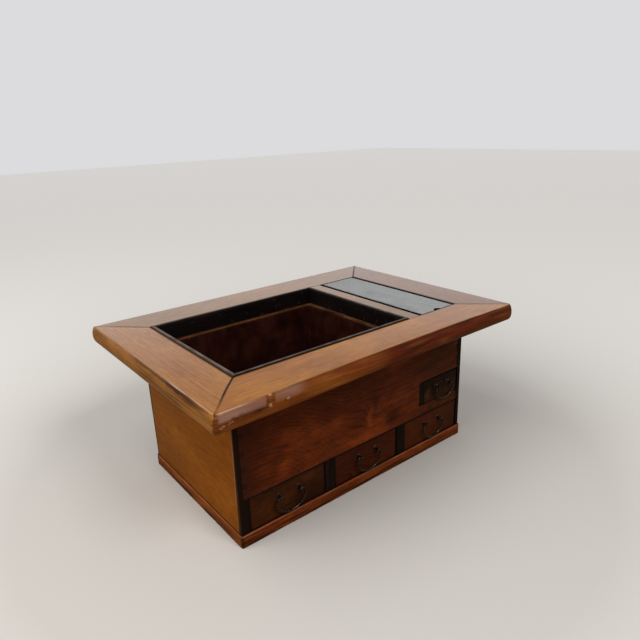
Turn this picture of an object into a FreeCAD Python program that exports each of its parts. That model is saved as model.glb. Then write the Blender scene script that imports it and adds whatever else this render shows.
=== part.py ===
import FreeCAD, Part
import math
import os

# Japanese long hibachi of the wide-rimmed kind: a boarded box with four drawers,
# a drop-in copper fire liner, a lidded well beside it, and a mitred rim that serves as the table.
# Millimetres. X runs along the front, Y from front to back, Z up; the origin is on the floor
# under the middle of the rim.

Vector = FreeCAD.Vector
parts_folder = "parts"

# Body
table_height = 332.0          # floor to the flat top of the rim
body_length = 610.0
body_depth = 366.0
board_thickness = 19.0        # front, back and end boards
corner_lap = 10.0             # end board left standing outside the fingers
finger_pitch = 33.0           # height of one finger and one socket together
socket_height = 13.0          # end board showing between two fingers

# Plinth and floor
plinth_height = 26.0
plinth_proud = 3.0
plinth_thickness = 24.0
plinth_rebate = 8.0
plinth_corner_radius = 5.0
plinth_edge_radius = 3.0
floor_thickness = 12.0

# Rim
end_overhang = 75.5
side_overhang = 85.0
rim_thickness = 36.0
rim_end_width = 92.0
rim_side_width = 96.0
nose_bulge = 5.0              # rounded edge beyond the flat top
nose_drop = 16.0              # widest line of the rounded edge below the flat top
rim_corner_radius = 9.0
mitre_gap = 0.5
well_opening_length = 117.0
cross_rail_width = 31.5
tenon_length = 12.0
tenon_width = 24.0
tenon_thickness = 12.0
spline_length = 60.0
spline_width = 24.0
spline_thickness = 4.0
peg_width = 6.0
peg_length = 28.0
peg_inset_x = 110.0           # from the body's ends to the outer pegs of front and back
peg_inset_y = 80.0            # from the body's front and back to the pegs of the ends

# Collar round the fire opening
collar_thickness = 10.5
bead_rise = 2.5
bead_radius = 3.5
collar_seat = 8.5             # collar resting on the fire wall

# Walls and shelves inside
fire_wall_thickness = 12.0
drawer_wall_thickness = 14.0
drawer_wall_setback = 1.5
shelf_thickness = 8.0
shelf_housing = 4.0

# Copper liner
sheet_thickness = 1.5
liner_floor_gap = 17.3        # under the liner, down to the dust board
flange_width = 6.0
flange_clearance = 1.0
flange_recess = 2.5           # ledger tops below the collar
ledger_height = 14.0
ledger_clearance = 0.8
liner_corner_radius = 5.0

# Lid of the well, between two black strips that line the long sides of its opening
left_lining_thickness = 9.5
right_lining_thickness = 5.0
lining_recess = 3.0           # below the rim's top
lid_thickness = 9.0
lid_clearance = 1.5
lid_recess = 0.5
lid_bevel = 0.8
lid_ledger_width = 6.0
lid_ledger_height = 12.0
notch_radius = 10.0
notch_depth = 9.0
notch_relief = 3.0            # ledger cut back beyond the finger notch

# Drawers
lower_opening_height = 72.0
upper_opening_height = 59.0
window_rail_height = 22.0     # front board left under the upper drawer
upper_opening_length = 117.0
stile_width = 23.5
stile_bevel = 1.0
partition_thickness = 14.0
guide_height = 10.0
guide_end_gap = 20.0
front_thickness = 15.0
front_setback = 1.5
front_bevel = 1.0
side_thickness = 8.0
base_thickness = 5.0
joint_depth = 8.0             # how far the sides and the base enter the drawer front
drawer_side_gap = 0.8
lower_top_gap = 2.2           # drawer front down from the top of its opening
upper_top_gap = 4.0
drawer_back_gap = 4.0
side_top_gap = 6.0
back_drop = 4.0

# Iron handles
post_spacing = 46.5
lower_post_height = 44.5      # above the floor of the drawer opening
upper_post_height = 32.0
upper_handle_scale = 0.87     # the upper handle spans less, with the same iron
upper_handle_shift = 5.0      # and sits right of its drawer's middle
post_reach = 8.5              # drawer face to the middle of the eye
eye_radius = 3.9
eye_width = 5.0
strip_width = 3.6             # folded iron strip behind the eye
strip_thickness = 3.0
rosette_radius = 6.0
rosette_thickness = 1.8
rosette_bevel = 1.4
leg_length = 12.0
leg_thickness = 1.2
rod_thickness = 4.4
rod_sides = 4
forged_sides = 8              # flats of the eyes, rosettes and pin heads
pin_radius = 2.12
pin_clearance = 0.08
pin_head_radius = 2.9
pin_head_length = 2.2
bail_half_width = 32.5        # middle of the rod
bail_drop = 36.5              # from the pins to the lowest middle of the rod
bail_widest_drop = 12.0
bail_side_radius = 20.0
bail_curl_radius = 3.5

# Clearance between pieces that move apart
rest_gap = 0.3

# Shaping: how far a cutter runs past what it cuts, and how closely edges are picked by place
overrun = 1.0
pick = 0.1

# Levels
rim_bottom = table_height - rim_thickness
front_board_bottom = plinth_height + lower_opening_height
window_bottom = front_board_bottom + window_rail_height
window_top = window_bottom + upper_opening_height
dust_board_top = front_board_bottom + shelf_thickness

# Body planes
body_right = body_length / 2
body_back = body_depth / 2
body_left = -body_right
body_front = -body_back
inner_right = body_right - board_thickness
inner_left = -inner_right
inner_back = body_back - board_thickness
inner_front = -inner_back
lap_right = body_right - corner_lap
lap_left = -lap_right

# Rim planes
rim_length = body_length + 2 * end_overhang
rim_depth = body_depth + 2 * side_overhang
frame_right = rim_length / 2 - rim_end_width
frame_left = -frame_right
frame_back = rim_depth / 2 - rim_side_width
frame_front = -frame_back
well_left = frame_right - well_opening_length
rail_left = well_left - cross_rail_width
lid_room_left = well_left + left_lining_thickness
lid_room_right = frame_right - right_lining_thickness

# Planes of the fire opening and the inner walls
collar_left = frame_left + collar_thickness
collar_right = rail_left - collar_thickness
collar_back = frame_back - collar_thickness
fire_wall_left = rail_left - collar_seat
drawer_wall_right = lap_right - upper_opening_length
drawer_wall_left = drawer_wall_right - drawer_wall_thickness

# Lower row: three equal openings between the left end board, two stiles and the right lap
lower_opening_length = (lap_right - inner_left - 2 * stile_width) / 3
stile_lefts = [inner_left + lower_opening_length, inner_left + 2 * lower_opening_length + stile_width]


def block(x0, x1, y0, y1, z0, z1):
    return Part.makeBox(x1 - x0, y1 - y0, z1 - z0, Vector(x0, y0, z0))


def save(name, shape):
    shape.exportStep(os.path.join(parts_folder, name + ".step"))


def cut_all(shape, tools):
    for tool in tools:
        shape = shape.cut(tool)
    return shape


def vertical_edges(shape):
    return [edge for edge in shape.Edges if edge.BoundBox.ZLength > edge.Length - pick]


def rounded_block(x0, x1, y0, y1, z0, z1, radius):
    plain = block(x0, x1, y0, y1, z0, z1)
    return plain.makeFillet(radius, vertical_edges(plain))


# Frames of mitred bars. A profile is a closed outline across the front bar, with its outer
# face at y = -reach; the other three bars are the same bar turned about Z.


def outline(edges):
    return Part.Face(Part.Wire(Part.__sortEdges__(edges)))


def line(a, b):
    return Part.makeLine(Vector(0, a[0], a[1]), Vector(0, b[0], b[1]))


def arc(a, middle, b):
    return Part.Arc(*[Vector(0, point[0], point[1]) for point in (a, middle, b)]).toShape()


def arc_by_centre(centre, radius, angle_a, angle_b):
    angles = [angle_a, (angle_a + angle_b) / 2, angle_b]
    points = [(centre[0] + radius * math.cos(angle), centre[1] + radius * math.sin(angle)) for angle in angles]
    return arc(*points)


def mitre_prism(span, reach, width, end_width, top, gap):
    slack = gap / math.sqrt(2)
    half = span / 2
    plan = [
        Vector(-half + slack, -reach, -overrun),
        Vector(half - slack, -reach, -overrun),
        Vector(half - end_width - slack, -reach + width, -overrun),
        Vector(-half + end_width + slack, -reach + width, -overrun),
    ]
    return Part.Face(Part.makePolygon(plan + plan[:1])).extrude(Vector(0, 0, top + 2 * overrun))


def mitred_frame(length, depth, end_width, side_width, profile, top, gap=0.0):
    bars = {}
    for side, angle in (("front", 0), ("right", 90), ("back", 180), ("left", 270)):
        along = side in ("front", "back")
        span, reach = (length, depth / 2) if along else (depth, length / 2)
        width, other = (side_width, end_width) if along else (end_width, side_width)
        face = profile(reach, width)
        face.translate(Vector(-span / 2, 0, 0))
        bar = face.extrude(Vector(span, 0, 0)).common(mitre_prism(span, reach, width, other, top, gap))
        bar.rotate(Vector(0, 0, 0), Vector(0, 0, 1), angle)
        bars[side] = bar
    return bars


def rim_profile(reach, width):
    lower_radius = rim_thickness - nose_drop
    upper_radius = (nose_bulge ** 2 + nose_drop ** 2) / (2 * nose_bulge)
    widest = table_height - nose_drop
    arris = (-reach + nose_bulge, table_height)
    top_inner = (-reach + width, table_height)
    bottom_inner = (-reach + width, rim_bottom)
    bottom_outer = (-reach + lower_radius, rim_bottom)
    edges = [line(arris, top_inner), line(top_inner, bottom_inner), line(bottom_inner, bottom_outer)]
    edges.append(arc_by_centre((-reach + lower_radius, widest), lower_radius, -math.pi / 2, -math.pi))
    opening = math.asin(nose_drop / upper_radius)
    edges.append(arc_by_centre((-reach + upper_radius, widest), upper_radius, math.pi, math.pi - opening))
    return outline(edges)


def plinth_profile(reach, width):
    inner = -reach + width
    ledge = plinth_height - floor_thickness
    corner = (-reach + plinth_edge_radius, plinth_height - plinth_edge_radius)
    points = [
        (corner[0], plinth_height),
        (inner - plinth_rebate, plinth_height),
        (inner - plinth_rebate, ledge),
        (inner, ledge),
        (inner, 0),
        (-reach, 0),
        (-reach, corner[1]),
    ]
    edges = [line(a, b) for a, b in zip(points, points[1:])]
    edges.append(arc_by_centre(corner, plinth_edge_radius, math.pi, math.pi / 2))
    return outline(edges)


def collar_profile(reach, width):
    top = table_height + bead_rise
    shoulder = top - bead_radius
    outer, inner = -reach, -reach + width
    outer_centre = (outer + bead_radius, shoulder)
    inner_centre = (inner - bead_radius, shoulder)
    edges = [
        line((outer, shoulder), (outer, rim_bottom)),
        line((outer, rim_bottom), (inner, rim_bottom)),
        line((inner, rim_bottom), (inner, shoulder)),
        arc_by_centre(inner_centre, bead_radius, 0, math.pi / 2),
        line((inner_centre[0], top), (outer_centre[0], top)),
        arc_by_centre(outer_centre, bead_radius, math.pi / 2, math.pi),
    ]
    return outline(edges)


# Rim


def rim_splines():
    run, rise = rim_end_width, rim_side_width
    angle = math.degrees(math.atan2(rise, run))
    middle = table_height - rim_thickness / 2
    splines = []
    for x_sign, y_sign in ((-1, -1), (1, -1), (1, 1), (-1, 1)):
        half = spline_thickness / 2
        spline = block(-spline_length / 2, spline_length / 2, -spline_width / 2, spline_width / 2, -half, half)
        spline.rotate(Vector(0, 0, 0), Vector(0, 0, 1), angle * x_sign * y_sign)
        x = x_sign * (rim_length / 2 - run / 2)
        y = y_sign * (rim_depth / 2 - rise / 2)
        spline.translate(Vector(x, y, middle))
        splines.append(spline)
    return splines


def rim_pegs():
    bearing_x = (body_right + frame_right) / 2
    bearing_y = (body_back + frame_back) / 2
    reach_x = body_right - peg_inset_x
    reach_y = body_back - peg_inset_y
    half = peg_width / 2
    places = [(x, y) for x in (-reach_x, 0, reach_x) for y in (-bearing_y, bearing_y)]
    places += [(x, y) for x in (-bearing_x, bearing_x) for y in (-reach_y, reach_y)]
    z0, z1 = rim_bottom - peg_length / 2, rim_bottom + peg_length / 2
    return [block(x - half, x + half, y - half, y + half, z0, z1) for x, y in places]


def cross_rail():
    rail = block(rail_left, well_left, frame_front, frame_back, rim_bottom, table_height)
    centre = (rail_left + well_left) / 2
    middle = table_height - rim_thickness / 2
    reach = frame_back + tenon_length
    tenon = block(
        centre - tenon_width / 2,
        centre + tenon_width / 2,
        -reach,
        reach,
        middle - tenon_thickness / 2,
        middle + tenon_thickness / 2,
    )
    return rail.fuse(tenon).removeSplitter()


def rim_bars():
    bars = mitred_frame(
        rim_length, rim_depth, rim_end_width, rim_side_width, rim_profile, table_height, mitre_gap
    )
    softened = rounded_block(
        -rim_length / 2,
        rim_length / 2,
        -rim_depth / 2,
        rim_depth / 2,
        rim_bottom - overrun,
        table_height + overrun,
        rim_corner_radius,
    )
    tools = rim_splines() + rim_pegs() + [cross_rail()]
    return {side: cut_all(bar.common(softened), tools) for side, bar in bars.items()}


def collar_bars():
    length = rail_left - frame_left
    bars = mitred_frame(
        length,
        frame_back - frame_front,
        collar_thickness,
        collar_thickness,
        collar_profile,
        table_height + bead_rise,
    )
    for bar in bars.values():
        bar.translate(Vector((frame_left + rail_left) / 2, 0, 0))
    return bars


# Carcass


def finger_spans(bottom, top):
    count = max(1, round((top - bottom) / finger_pitch))
    pitch = (top - bottom) / count
    return [(bottom + index * pitch, bottom + (index + 1) * pitch - socket_height) for index in range(count)]


def fingers(side, bottom, top, y0, y1):
    spans = finger_spans(bottom, top)
    if side == "left":
        return [block(lap_left, inner_left, y0, y1, low, high) for low, high in spans]
    return [block(inner_right, lap_right, y0, y1, low, high) for low, high in spans]


def window_tongue():
    return block(inner_right, lap_right, body_front, inner_front, front_board_bottom, window_bottom)


def front_board():
    board = block(inner_left, inner_right, body_front, inner_front, front_board_bottom, rim_bottom)
    ends = fingers("left", front_board_bottom, rim_bottom, body_front, inner_front)
    ends += fingers("right", window_top, rim_bottom, body_front, inner_front)
    ends.append(window_tongue())
    window = block(drawer_wall_left, lap_right, body_front, inner_front, window_bottom, window_top)
    return cut_all(board.fuse(ends).removeSplitter(), [window] + rim_pegs())


def back_board():
    board = block(inner_left, inner_right, inner_back, body_back, plinth_height, rim_bottom)
    ends = fingers("left", plinth_height, rim_bottom, inner_back, body_back)
    ends += fingers("right", plinth_height, rim_bottom, inner_back, body_back)
    return cut_all(board.fuse(ends).removeSplitter(), rim_pegs())


def end_board(side):
    x0, x1 = (body_left, inner_left) if side == "left" else (inner_right, body_right)
    board = block(x0, x1, body_front, body_back, plinth_height, rim_bottom)
    sockets = fingers(side, plinth_height, rim_bottom, inner_back, body_back)
    if side == "left":
        sockets += fingers(side, front_board_bottom, rim_bottom, body_front, inner_front)
    else:
        sockets += fingers(side, window_top, rim_bottom, body_front, inner_front)
        sockets.append(window_tongue())
        rebate_back = body_front + front_setback + front_thickness + drawer_side_gap
        for bottom, top in ((plinth_height, front_board_bottom), (window_bottom, window_top)):
            sockets.append(block(inner_right, lap_right, body_front, rebate_back, bottom, top))
    return cut_all(board, sockets + [dust_board()] + rim_pegs())


def plinth_bars():
    length = body_length + 2 * plinth_proud
    depth = body_depth + 2 * plinth_proud
    bars = mitred_frame(length, depth, plinth_thickness, plinth_thickness, plinth_profile, plinth_height)
    x, y = length / 2, depth / 2
    softened = rounded_block(-x, x, -y, y, -overrun, plinth_height + overrun, plinth_corner_radius)
    return {side: bar.common(softened) for side, bar in bars.items()}


def floor_board():
    edge = plinth_proud - plinth_thickness + plinth_rebate
    x, y = body_right + edge, body_back + edge
    return block(-x, x, -y, y, plinth_height - floor_thickness, plinth_height)


def dust_board():
    x = inner_right + shelf_housing
    return block(-x, x, inner_front, inner_back, front_board_bottom, dust_board_top)


def stile(left):
    post = block(left, left + stile_width, body_front, inner_front, plinth_height, front_board_bottom)
    front_edges = [edge for edge in vertical_edges(post) if edge.BoundBox.YMax < body_front + pick]
    return post.makeChamfer(stile_bevel, front_edges)


def partition_left(stile_left):
    return stile_left + (stile_width - partition_thickness) / 2


def drawer_partition(stile_left):
    left = partition_left(stile_left)
    return block(
        left, left + partition_thickness, inner_front, inner_back, plinth_height, front_board_bottom
    )


def drawer_guides():
    guides = []
    for left in stile_lefts:
        face = partition_left(left)
        for x0, x1 in ((left, face), (face + partition_thickness, left + stile_width)):
            y1 = inner_back - guide_end_gap
            guides.append(block(x0, x1, inner_front, y1, plinth_height, plinth_height + guide_height))
    return guides


def fire_wall():
    right = fire_wall_left + fire_wall_thickness
    return block(fire_wall_left, right, inner_front, inner_back, dust_board_top, rim_bottom)


def drawer_wall():
    wall = block(drawer_wall_left, drawer_wall_right, inner_front, inner_back, dust_board_top, rim_bottom)
    front = body_front + drawer_wall_setback
    tongue = block(drawer_wall_left, drawer_wall_right, front, inner_front, window_bottom, window_top)
    return wall.fuse(tongue).removeSplitter()


def well_shelf(bottom):
    return block(drawer_wall_right, inner_right, inner_front, inner_back, bottom, bottom + shelf_thickness)


# Liner and lid


def copper_liner():
    flange_x0, flange_x1 = collar_left + flange_clearance, collar_right - flange_clearance
    flange_y = collar_back - flange_clearance
    wall_x0, wall_x1, wall_y = flange_x0 + flange_width, flange_x1 - flange_width, flange_y - flange_width
    bottom_of_flange = rim_bottom - flange_recess + rest_gap
    top = bottom_of_flange + sheet_thickness
    floor = dust_board_top + liner_floor_gap
    flange_radius = liner_corner_radius + flange_width
    flange = rounded_block(
        flange_x0, flange_x1, -flange_y, flange_y, bottom_of_flange, top, flange_radius
    )
    pan = rounded_block(wall_x0, wall_x1, -wall_y, wall_y, floor, top, liner_corner_radius)
    hollow = rounded_block(
        wall_x0 + sheet_thickness,
        wall_x1 - sheet_thickness,
        -wall_y + sheet_thickness,
        wall_y - sheet_thickness,
        floor + sheet_thickness,
        top + overrun,
        liner_corner_radius - sheet_thickness,
    )
    return flange.fuse(pan).cut(hollow).removeSplitter()


def liner_ledgers():
    inset = flange_clearance + flange_width - ledger_clearance
    x0, x1, y = collar_left + inset, collar_right - inset, collar_back - inset
    top = rim_bottom - flange_recess
    bottom = top - ledger_height
    return [
        block(inner_left, x0, inner_front, inner_back, bottom, top),
        block(x1, fire_wall_left, inner_front, inner_back, bottom, top),
        block(x0, x1, inner_front, -y, bottom, top),
        block(x0, x1, y, inner_back, bottom, top),
    ]


def well_linings():
    spans = {"left": (well_left, lid_room_left), "right": (lid_room_right, frame_right)}
    top = table_height - lining_recess
    return {side: block(x0, x1, frame_front, frame_back, rim_bottom, top) for side, (x0, x1) in spans.items()}


def notch_centre_x():
    return (lid_room_left + lid_room_right) / 2


def well_lid():
    x0, x1 = lid_room_left + lid_clearance, lid_room_right - lid_clearance
    y = frame_back - lid_clearance
    top = table_height - lid_recess
    bottom = top - lid_thickness
    panel = block(x0, x1, -y, y, bottom, top)
    top_edges = [edge for edge in panel.Edges if edge.BoundBox.ZMin > top - pick]
    panel = panel.makeChamfer(lid_bevel, top_edges)
    centre = Vector(notch_centre_x(), -y - notch_radius + notch_depth, bottom - overrun)
    return panel.cut(Part.makeCylinder(notch_radius, lid_thickness + 2 * overrun, centre))


def lid_ledgers():
    top = table_height - lid_recess - lid_thickness - rest_gap
    bottom = top - lid_ledger_height
    y_inner = frame_back - lid_ledger_width
    relief = notch_radius + notch_relief
    x0, x1 = lid_room_left, lid_room_right
    return [
        block(x0, notch_centre_x() - relief, frame_front, -y_inner, bottom, top),
        block(notch_centre_x() + relief, x1, frame_front, -y_inner, bottom, top),
        block(x0, x1, y_inner, frame_back, bottom, top),
        block(x0, x0 + lid_ledger_width, -y_inner, y_inner, bottom, top),
        block(x1 - lid_ledger_width, x1, -y_inner, y_inner, bottom, top),
    ]


# Drawers. Each is made for an opening of the front, from x0 to x1 and from bottom to top;
# its box stops inside the right end board, over which the drawer's front may lap.


def drawer_pieces(x0, x1, bottom, top, top_gap):
    left, right = x0 + drawer_side_gap, x1 - drawer_side_gap
    box_right = min(right, inner_right - drawer_side_gap)
    face_y = body_front + front_setback
    joint_y = face_y + front_thickness - joint_depth
    back_y = inner_back - drawer_back_gap
    base_bottom = bottom + rest_gap
    base_top = base_bottom + base_thickness
    side_top = top - side_top_gap
    front = block(left, right, face_y, face_y + front_thickness, base_bottom, top - top_gap)
    face_edges = [edge for edge in front.Edges if edge.BoundBox.YMax < face_y + pick]
    front = front.makeChamfer(front_bevel, face_edges)
    sides = [
        block(left, left + side_thickness, joint_y, back_y, base_top, side_top),
        block(box_right - side_thickness, box_right, joint_y, back_y, base_top, side_top),
    ]
    back = block(
        left + side_thickness,
        box_right - side_thickness,
        back_y - side_thickness,
        back_y,
        base_top,
        side_top - back_drop,
    )
    base = block(left, box_right, joint_y, back_y, base_bottom, base_top)
    return {"front": cut_all(front, sides + [base]), "sides": sides, "back": back, "base": base}


def flat_sided(centre, normal, across_flats, sides):
    """A regular face, turned to have a flat square to Y or, when it looks along Y, to Z."""
    first = Vector(0, 0, 1) if abs(normal.y) > 0.5 else Vector(0, 1, 0)
    second = Vector(normal).normalize().cross(first)
    corner_radius = across_flats / 2 / math.cos(math.pi / sides)
    corners = []
    for index in range(sides + 1):
        turn = (index + 0.5) * 2 * math.pi / sides
        corners.append(centre + (first * math.cos(turn) + second * math.sin(turn)) * corner_radius)
    return Part.Face(Part.makePolygon(corners))


def forged_bar(centre, direction, across_flats):
    return flat_sided(centre, direction, across_flats, forged_sides).extrude(direction)


def handle_post(x, face_y, z):
    """A strip of iron folded round an eye, driven through a rosette and clenched behind the front."""
    inside = face_y + front_thickness
    axis_start = Vector(x - eye_width / 2, face_y - post_reach, z)
    eye = forged_bar(axis_start, Vector(eye_width, 0, 0), 2 * eye_radius)
    rosette_start = Vector(x, face_y - rosette_thickness, z)
    rosette = forged_bar(rosette_start, Vector(0, rosette_thickness, 0), 2 * rosette_radius)
    front_edges = [edge for edge in rosette.Edges if edge.BoundBox.YMax < rosette_start.y + pick]
    rosette = rosette.makeChamfer(rosette_bevel, front_edges)
    half = strip_width / 2
    legs = block(x - half, x + half, inside, inside + leg_thickness, z - leg_length, z + leg_length)
    bore = Part.makeCylinder(pin_radius + pin_clearance, eye_width, axis_start, Vector(1, 0, 0))
    return eye.fuse([post_strip(x, face_y, z), rosette, legs]).cut(bore).removeSplitter()


def post_strip(x, face_y, z):
    half_width, half_thickness = strip_width / 2, strip_thickness / 2
    start, end = face_y - post_reach, face_y + front_thickness
    return block(x - half_width, x + half_width, start, end, z - half_thickness, z + half_thickness)


def rod_arc(centre, radius, start, end):
    """The rod bent round a centre in the plane of the bail, from one angle to another."""
    middle = centre + Vector(math.cos(start), 0, math.sin(start)) * radius
    heading = Vector(-math.sin(start), 0, math.cos(start))
    section = flat_sided(middle, heading, rod_thickness, rod_sides)
    return section.revolve(centre, Vector(0, -1, 0), math.degrees(end - start))


def handle_bail(centre_x, face_y, z, scale):
    """Five arcs that run into each other: a wide bottom, two sides, and two curls that end level."""
    origin = Vector(centre_x, face_y - post_reach, z)
    drop, widest_drop = bail_drop * scale, bail_widest_drop * scale
    side_radius, curl_radius = bail_side_radius * scale, bail_curl_radius * scale
    side_x = bail_half_width * scale - side_radius
    rise = drop - widest_drop
    bottom_radius = (side_x ** 2 + rise ** 2 - side_radius ** 2) / (2 * (rise - side_radius))
    bottom_centre = origin + Vector(0, 0, bottom_radius - drop)
    spread = math.atan2(side_x, bottom_radius - rise)
    curl_reach = side_radius - curl_radius
    curl_drop = widest_drop - curl_radius
    curl_x = side_x + math.sqrt(curl_reach ** 2 - curl_drop ** 2)
    curl_start = math.asin(curl_drop / curl_reach)
    down = -math.pi / 2
    right_side = rod_arc(
        origin + Vector(side_x, 0, -widest_drop), side_radius, down + spread, curl_start
    )
    right_curl = rod_arc(
        origin + Vector(curl_x, 0, -curl_radius), curl_radius, curl_start, math.pi / 2
    )
    head_x = (post_spacing * scale - eye_width) / 2 - rest_gap
    inward = Vector(-1, 0, 0)
    pin_start = origin + Vector(curl_x, 0, 0)
    pin = Part.makeCylinder(pin_radius, curl_x - head_x, pin_start, inward)
    head = forged_bar(origin + Vector(head_x, 0, 0), inward * pin_head_length, 2 * pin_head_radius)
    right = [right_side, right_curl, pin, head]
    left = [piece.mirror(origin, Vector(1, 0, 0)) for piece in right]
    bottom = rod_arc(bottom_centre, bottom_radius, down - spread, down + spread)
    return bottom.fuse(right + left).removeSplitter()


def save_drawer(name, x0, x1, bottom, top, top_gap, post_height, handle_scale=1.0, handle_shift=0.0):
    pieces = drawer_pieces(x0, x1, bottom, top, top_gap)
    face_y = body_front + front_setback
    centre_x = (x0 + x1) / 2 + handle_shift
    z = bottom + post_height
    post_places = [centre_x + sign * post_spacing * handle_scale / 2 for sign in (-1, 1)]
    posts = [handle_post(x, face_y, z) for x in post_places]
    save(name + "_front", cut_all(pieces["front"], [post_strip(x, face_y, z) for x in post_places]))
    save(name + "_sides", Part.makeCompound(pieces["sides"]))
    save(name + "_back", pieces["back"])
    save(name + "_base", pieces["base"])
    save(name + "_posts", Part.makeCompound(posts))
    save(name + "_bail", handle_bail(centre_x, face_y, z, handle_scale))


def save_table():
    os.makedirs(parts_folder, exist_ok=True)
    for side, bar in plinth_bars().items():
        save("plinth_" + side, bar)
    save("floor_board", floor_board())
    save("front_board", front_board())
    save("back_board", back_board())
    for side in ("left", "right"):
        save("end_board_" + side, end_board(side))
    save("dust_board", dust_board())
    for side, left in zip(("left", "right"), stile_lefts):
        save("stile_" + side, stile(left))
        save("drawer_partition_" + side, drawer_partition(left))
    save("drawer_guides", Part.makeCompound(drawer_guides()))
    save("fire_wall", fire_wall())
    save("drawer_wall", drawer_wall())
    save("upper_drawer_floor", well_shelf(window_bottom - shelf_thickness))
    save("well_floor", well_shelf(window_top))
    for side, bar in rim_bars().items():
        save("rim_" + side, bar)
    save("rim_cross_rail", cross_rail())
    save("rim_splines", Part.makeCompound(rim_splines()))
    save("rim_pegs", Part.makeCompound(rim_pegs()))
    for side, bar in collar_bars().items():
        save("collar_" + side, bar)
    save("liner_ledgers", Part.makeCompound(liner_ledgers()))
    save("copper_liner", copper_liner())
    for side, strip in well_linings().items():
        save("well_lining_" + side, strip)
    save("lid_ledgers", Part.makeCompound(lid_ledgers()))
    save("well_lid", well_lid())
    lower_lefts = [inner_left] + [left + stile_width for left in stile_lefts]
    for name, left in zip(("left", "middle", "right"), lower_lefts):
        save_drawer(
            "drawer_" + name,
            left,
            left + lower_opening_length,
            plinth_height,
            front_board_bottom,
            lower_top_gap,
            lower_post_height,
        )
    save_drawer(
        "drawer_upper",
        drawer_wall_right,
        lap_right,
        window_bottom,
        window_top,
        upper_top_gap,
        upper_post_height,
        upper_handle_scale,
        upper_handle_shift,
    )


save_table()
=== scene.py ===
import math

import bmesh
import bpy
import numpy as np
from mathutils import Matrix, Vector


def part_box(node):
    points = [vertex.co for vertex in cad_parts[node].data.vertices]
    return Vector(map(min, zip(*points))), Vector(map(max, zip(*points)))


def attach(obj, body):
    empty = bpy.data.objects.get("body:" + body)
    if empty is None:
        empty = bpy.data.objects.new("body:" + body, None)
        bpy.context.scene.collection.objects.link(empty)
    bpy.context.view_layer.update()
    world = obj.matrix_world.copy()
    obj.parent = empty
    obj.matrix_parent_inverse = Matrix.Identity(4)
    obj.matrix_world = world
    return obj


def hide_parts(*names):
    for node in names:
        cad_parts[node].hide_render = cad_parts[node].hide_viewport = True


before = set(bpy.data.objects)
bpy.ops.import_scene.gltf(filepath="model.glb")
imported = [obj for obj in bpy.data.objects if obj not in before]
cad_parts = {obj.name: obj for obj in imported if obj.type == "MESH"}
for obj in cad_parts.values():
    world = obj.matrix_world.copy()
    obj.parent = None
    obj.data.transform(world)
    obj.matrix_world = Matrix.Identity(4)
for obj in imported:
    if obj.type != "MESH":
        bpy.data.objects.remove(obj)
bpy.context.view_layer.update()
mm = 0.001


# Camera, floor and lamps. The camera stands at the table's front left corner, a little above a
# seated person's eyes. A large soft lamp to the left lights the table and a smaller one in front
# fills in; its finish mirrors a room that is bright behind it and dim elsewhere.
focal_length_mm = 31.77
sensor_width_mm = 36.0
camera_place = Vector((-0.7006, -0.9396, 0.7243))
camera_azimuth = math.radians(-38.06)
camera_elevation = math.radians(19.05)
camera_roll = math.radians(-2.07)


def aimed(place, backward, roll=0.0):
    """A matrix at a place whose Z looks back along a direction, turned by a roll about it."""
    sideways = Vector((0, 0, 1)).cross(backward).normalized()
    upward = backward.cross(sideways).normalized()
    right = math.cos(roll) * sideways + math.sin(roll) * upward
    top = math.cos(roll) * upward - math.sin(roll) * sideways
    turned = Matrix((right, top, backward.normalized())).transposed().to_4x4()
    return Matrix.Translation(place) @ turned


camera_data = bpy.data.cameras.new("camera")
camera_data.lens = focal_length_mm
camera_data.sensor_width = sensor_width_mm
camera = bpy.data.objects.new("camera", camera_data)
bpy.context.scene.collection.objects.link(camera)
camera_back = Vector((
    math.sin(camera_azimuth) * math.cos(camera_elevation),
    -math.cos(camera_azimuth) * math.cos(camera_elevation),
    math.sin(camera_elevation),
))
camera.matrix_world = aimed(camera_place, camera_back, camera_roll)
bpy.context.scene.camera = camera
bpy.context.scene.view_settings.view_transform = "Standard"


def linear(hex_colour):
    """An sRGB hex colour as linear light: each channel through the sRGB curve."""
    channels = [int(hex_colour[start:start + 2], 16) / 255 for start in (1, 3, 5)]
    return [c / 12.92 if c <= 0.04045 else ((c + 0.055) / 1.055) ** 2.4 for c in channels] + [1.0]


def add(tree, kind, inputs=None, stops=None, **settings):
    """Adds one node, sets its properties, its ramp's stops, and each input to a value or a link."""
    node = tree.nodes.new(kind)
    for name, value in settings.items():
        setattr(node, name, value)
    for name, value in (inputs or {}).items():
        if isinstance(value, bpy.types.NodeSocket):
            tree.links.new(value, node.inputs[name])
        else:
            node.inputs[name].default_value = value
    if stops:
        ramp = node.color_ramp.elements
        while len(ramp) < len(stops):
            ramp.new(1.0)
        for element, (position, colour) in zip(ramp, stops):
            element.position = position
            element.color = colour
    return node


# The room as the camera and the table's finish see it: a pale wall, bright behind the table and
# dim behind the camera, under a dark ceiling. All other light from it is one even fill.
wall_colour, wall_seen = "#f0f0f2", 0.82
ceiling_start, ceiling_end, ceiling_level = math.sin(math.radians(17.5)), math.sin(math.radians(24)), 0.12
behind_table, behind_camera_level = (0.60, 0.80, 0.0), 0.35
fill_colour, fill_level = "#f4f4f6", 0.32
world = bpy.data.worlds.new("room")
world.use_nodes = True
bpy.context.scene.world = world
room = world.node_tree
room.nodes.clear()
seen = add(room, "ShaderNodeLightPath")
direct = seen.outputs["Is Camera Ray"]
for ray in ("Is Glossy Ray", "Is Transmission Ray"):
    direct = add(room, "ShaderNodeMath", {0: direct, 1: seen.outputs[ray]}, operation="MAXIMUM").outputs[0]
heading = add(room, "ShaderNodeTexCoord").outputs["Generated"]
upward = add(room, "ShaderNodeSeparateXYZ", {0: heading}).outputs["Z"]
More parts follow.
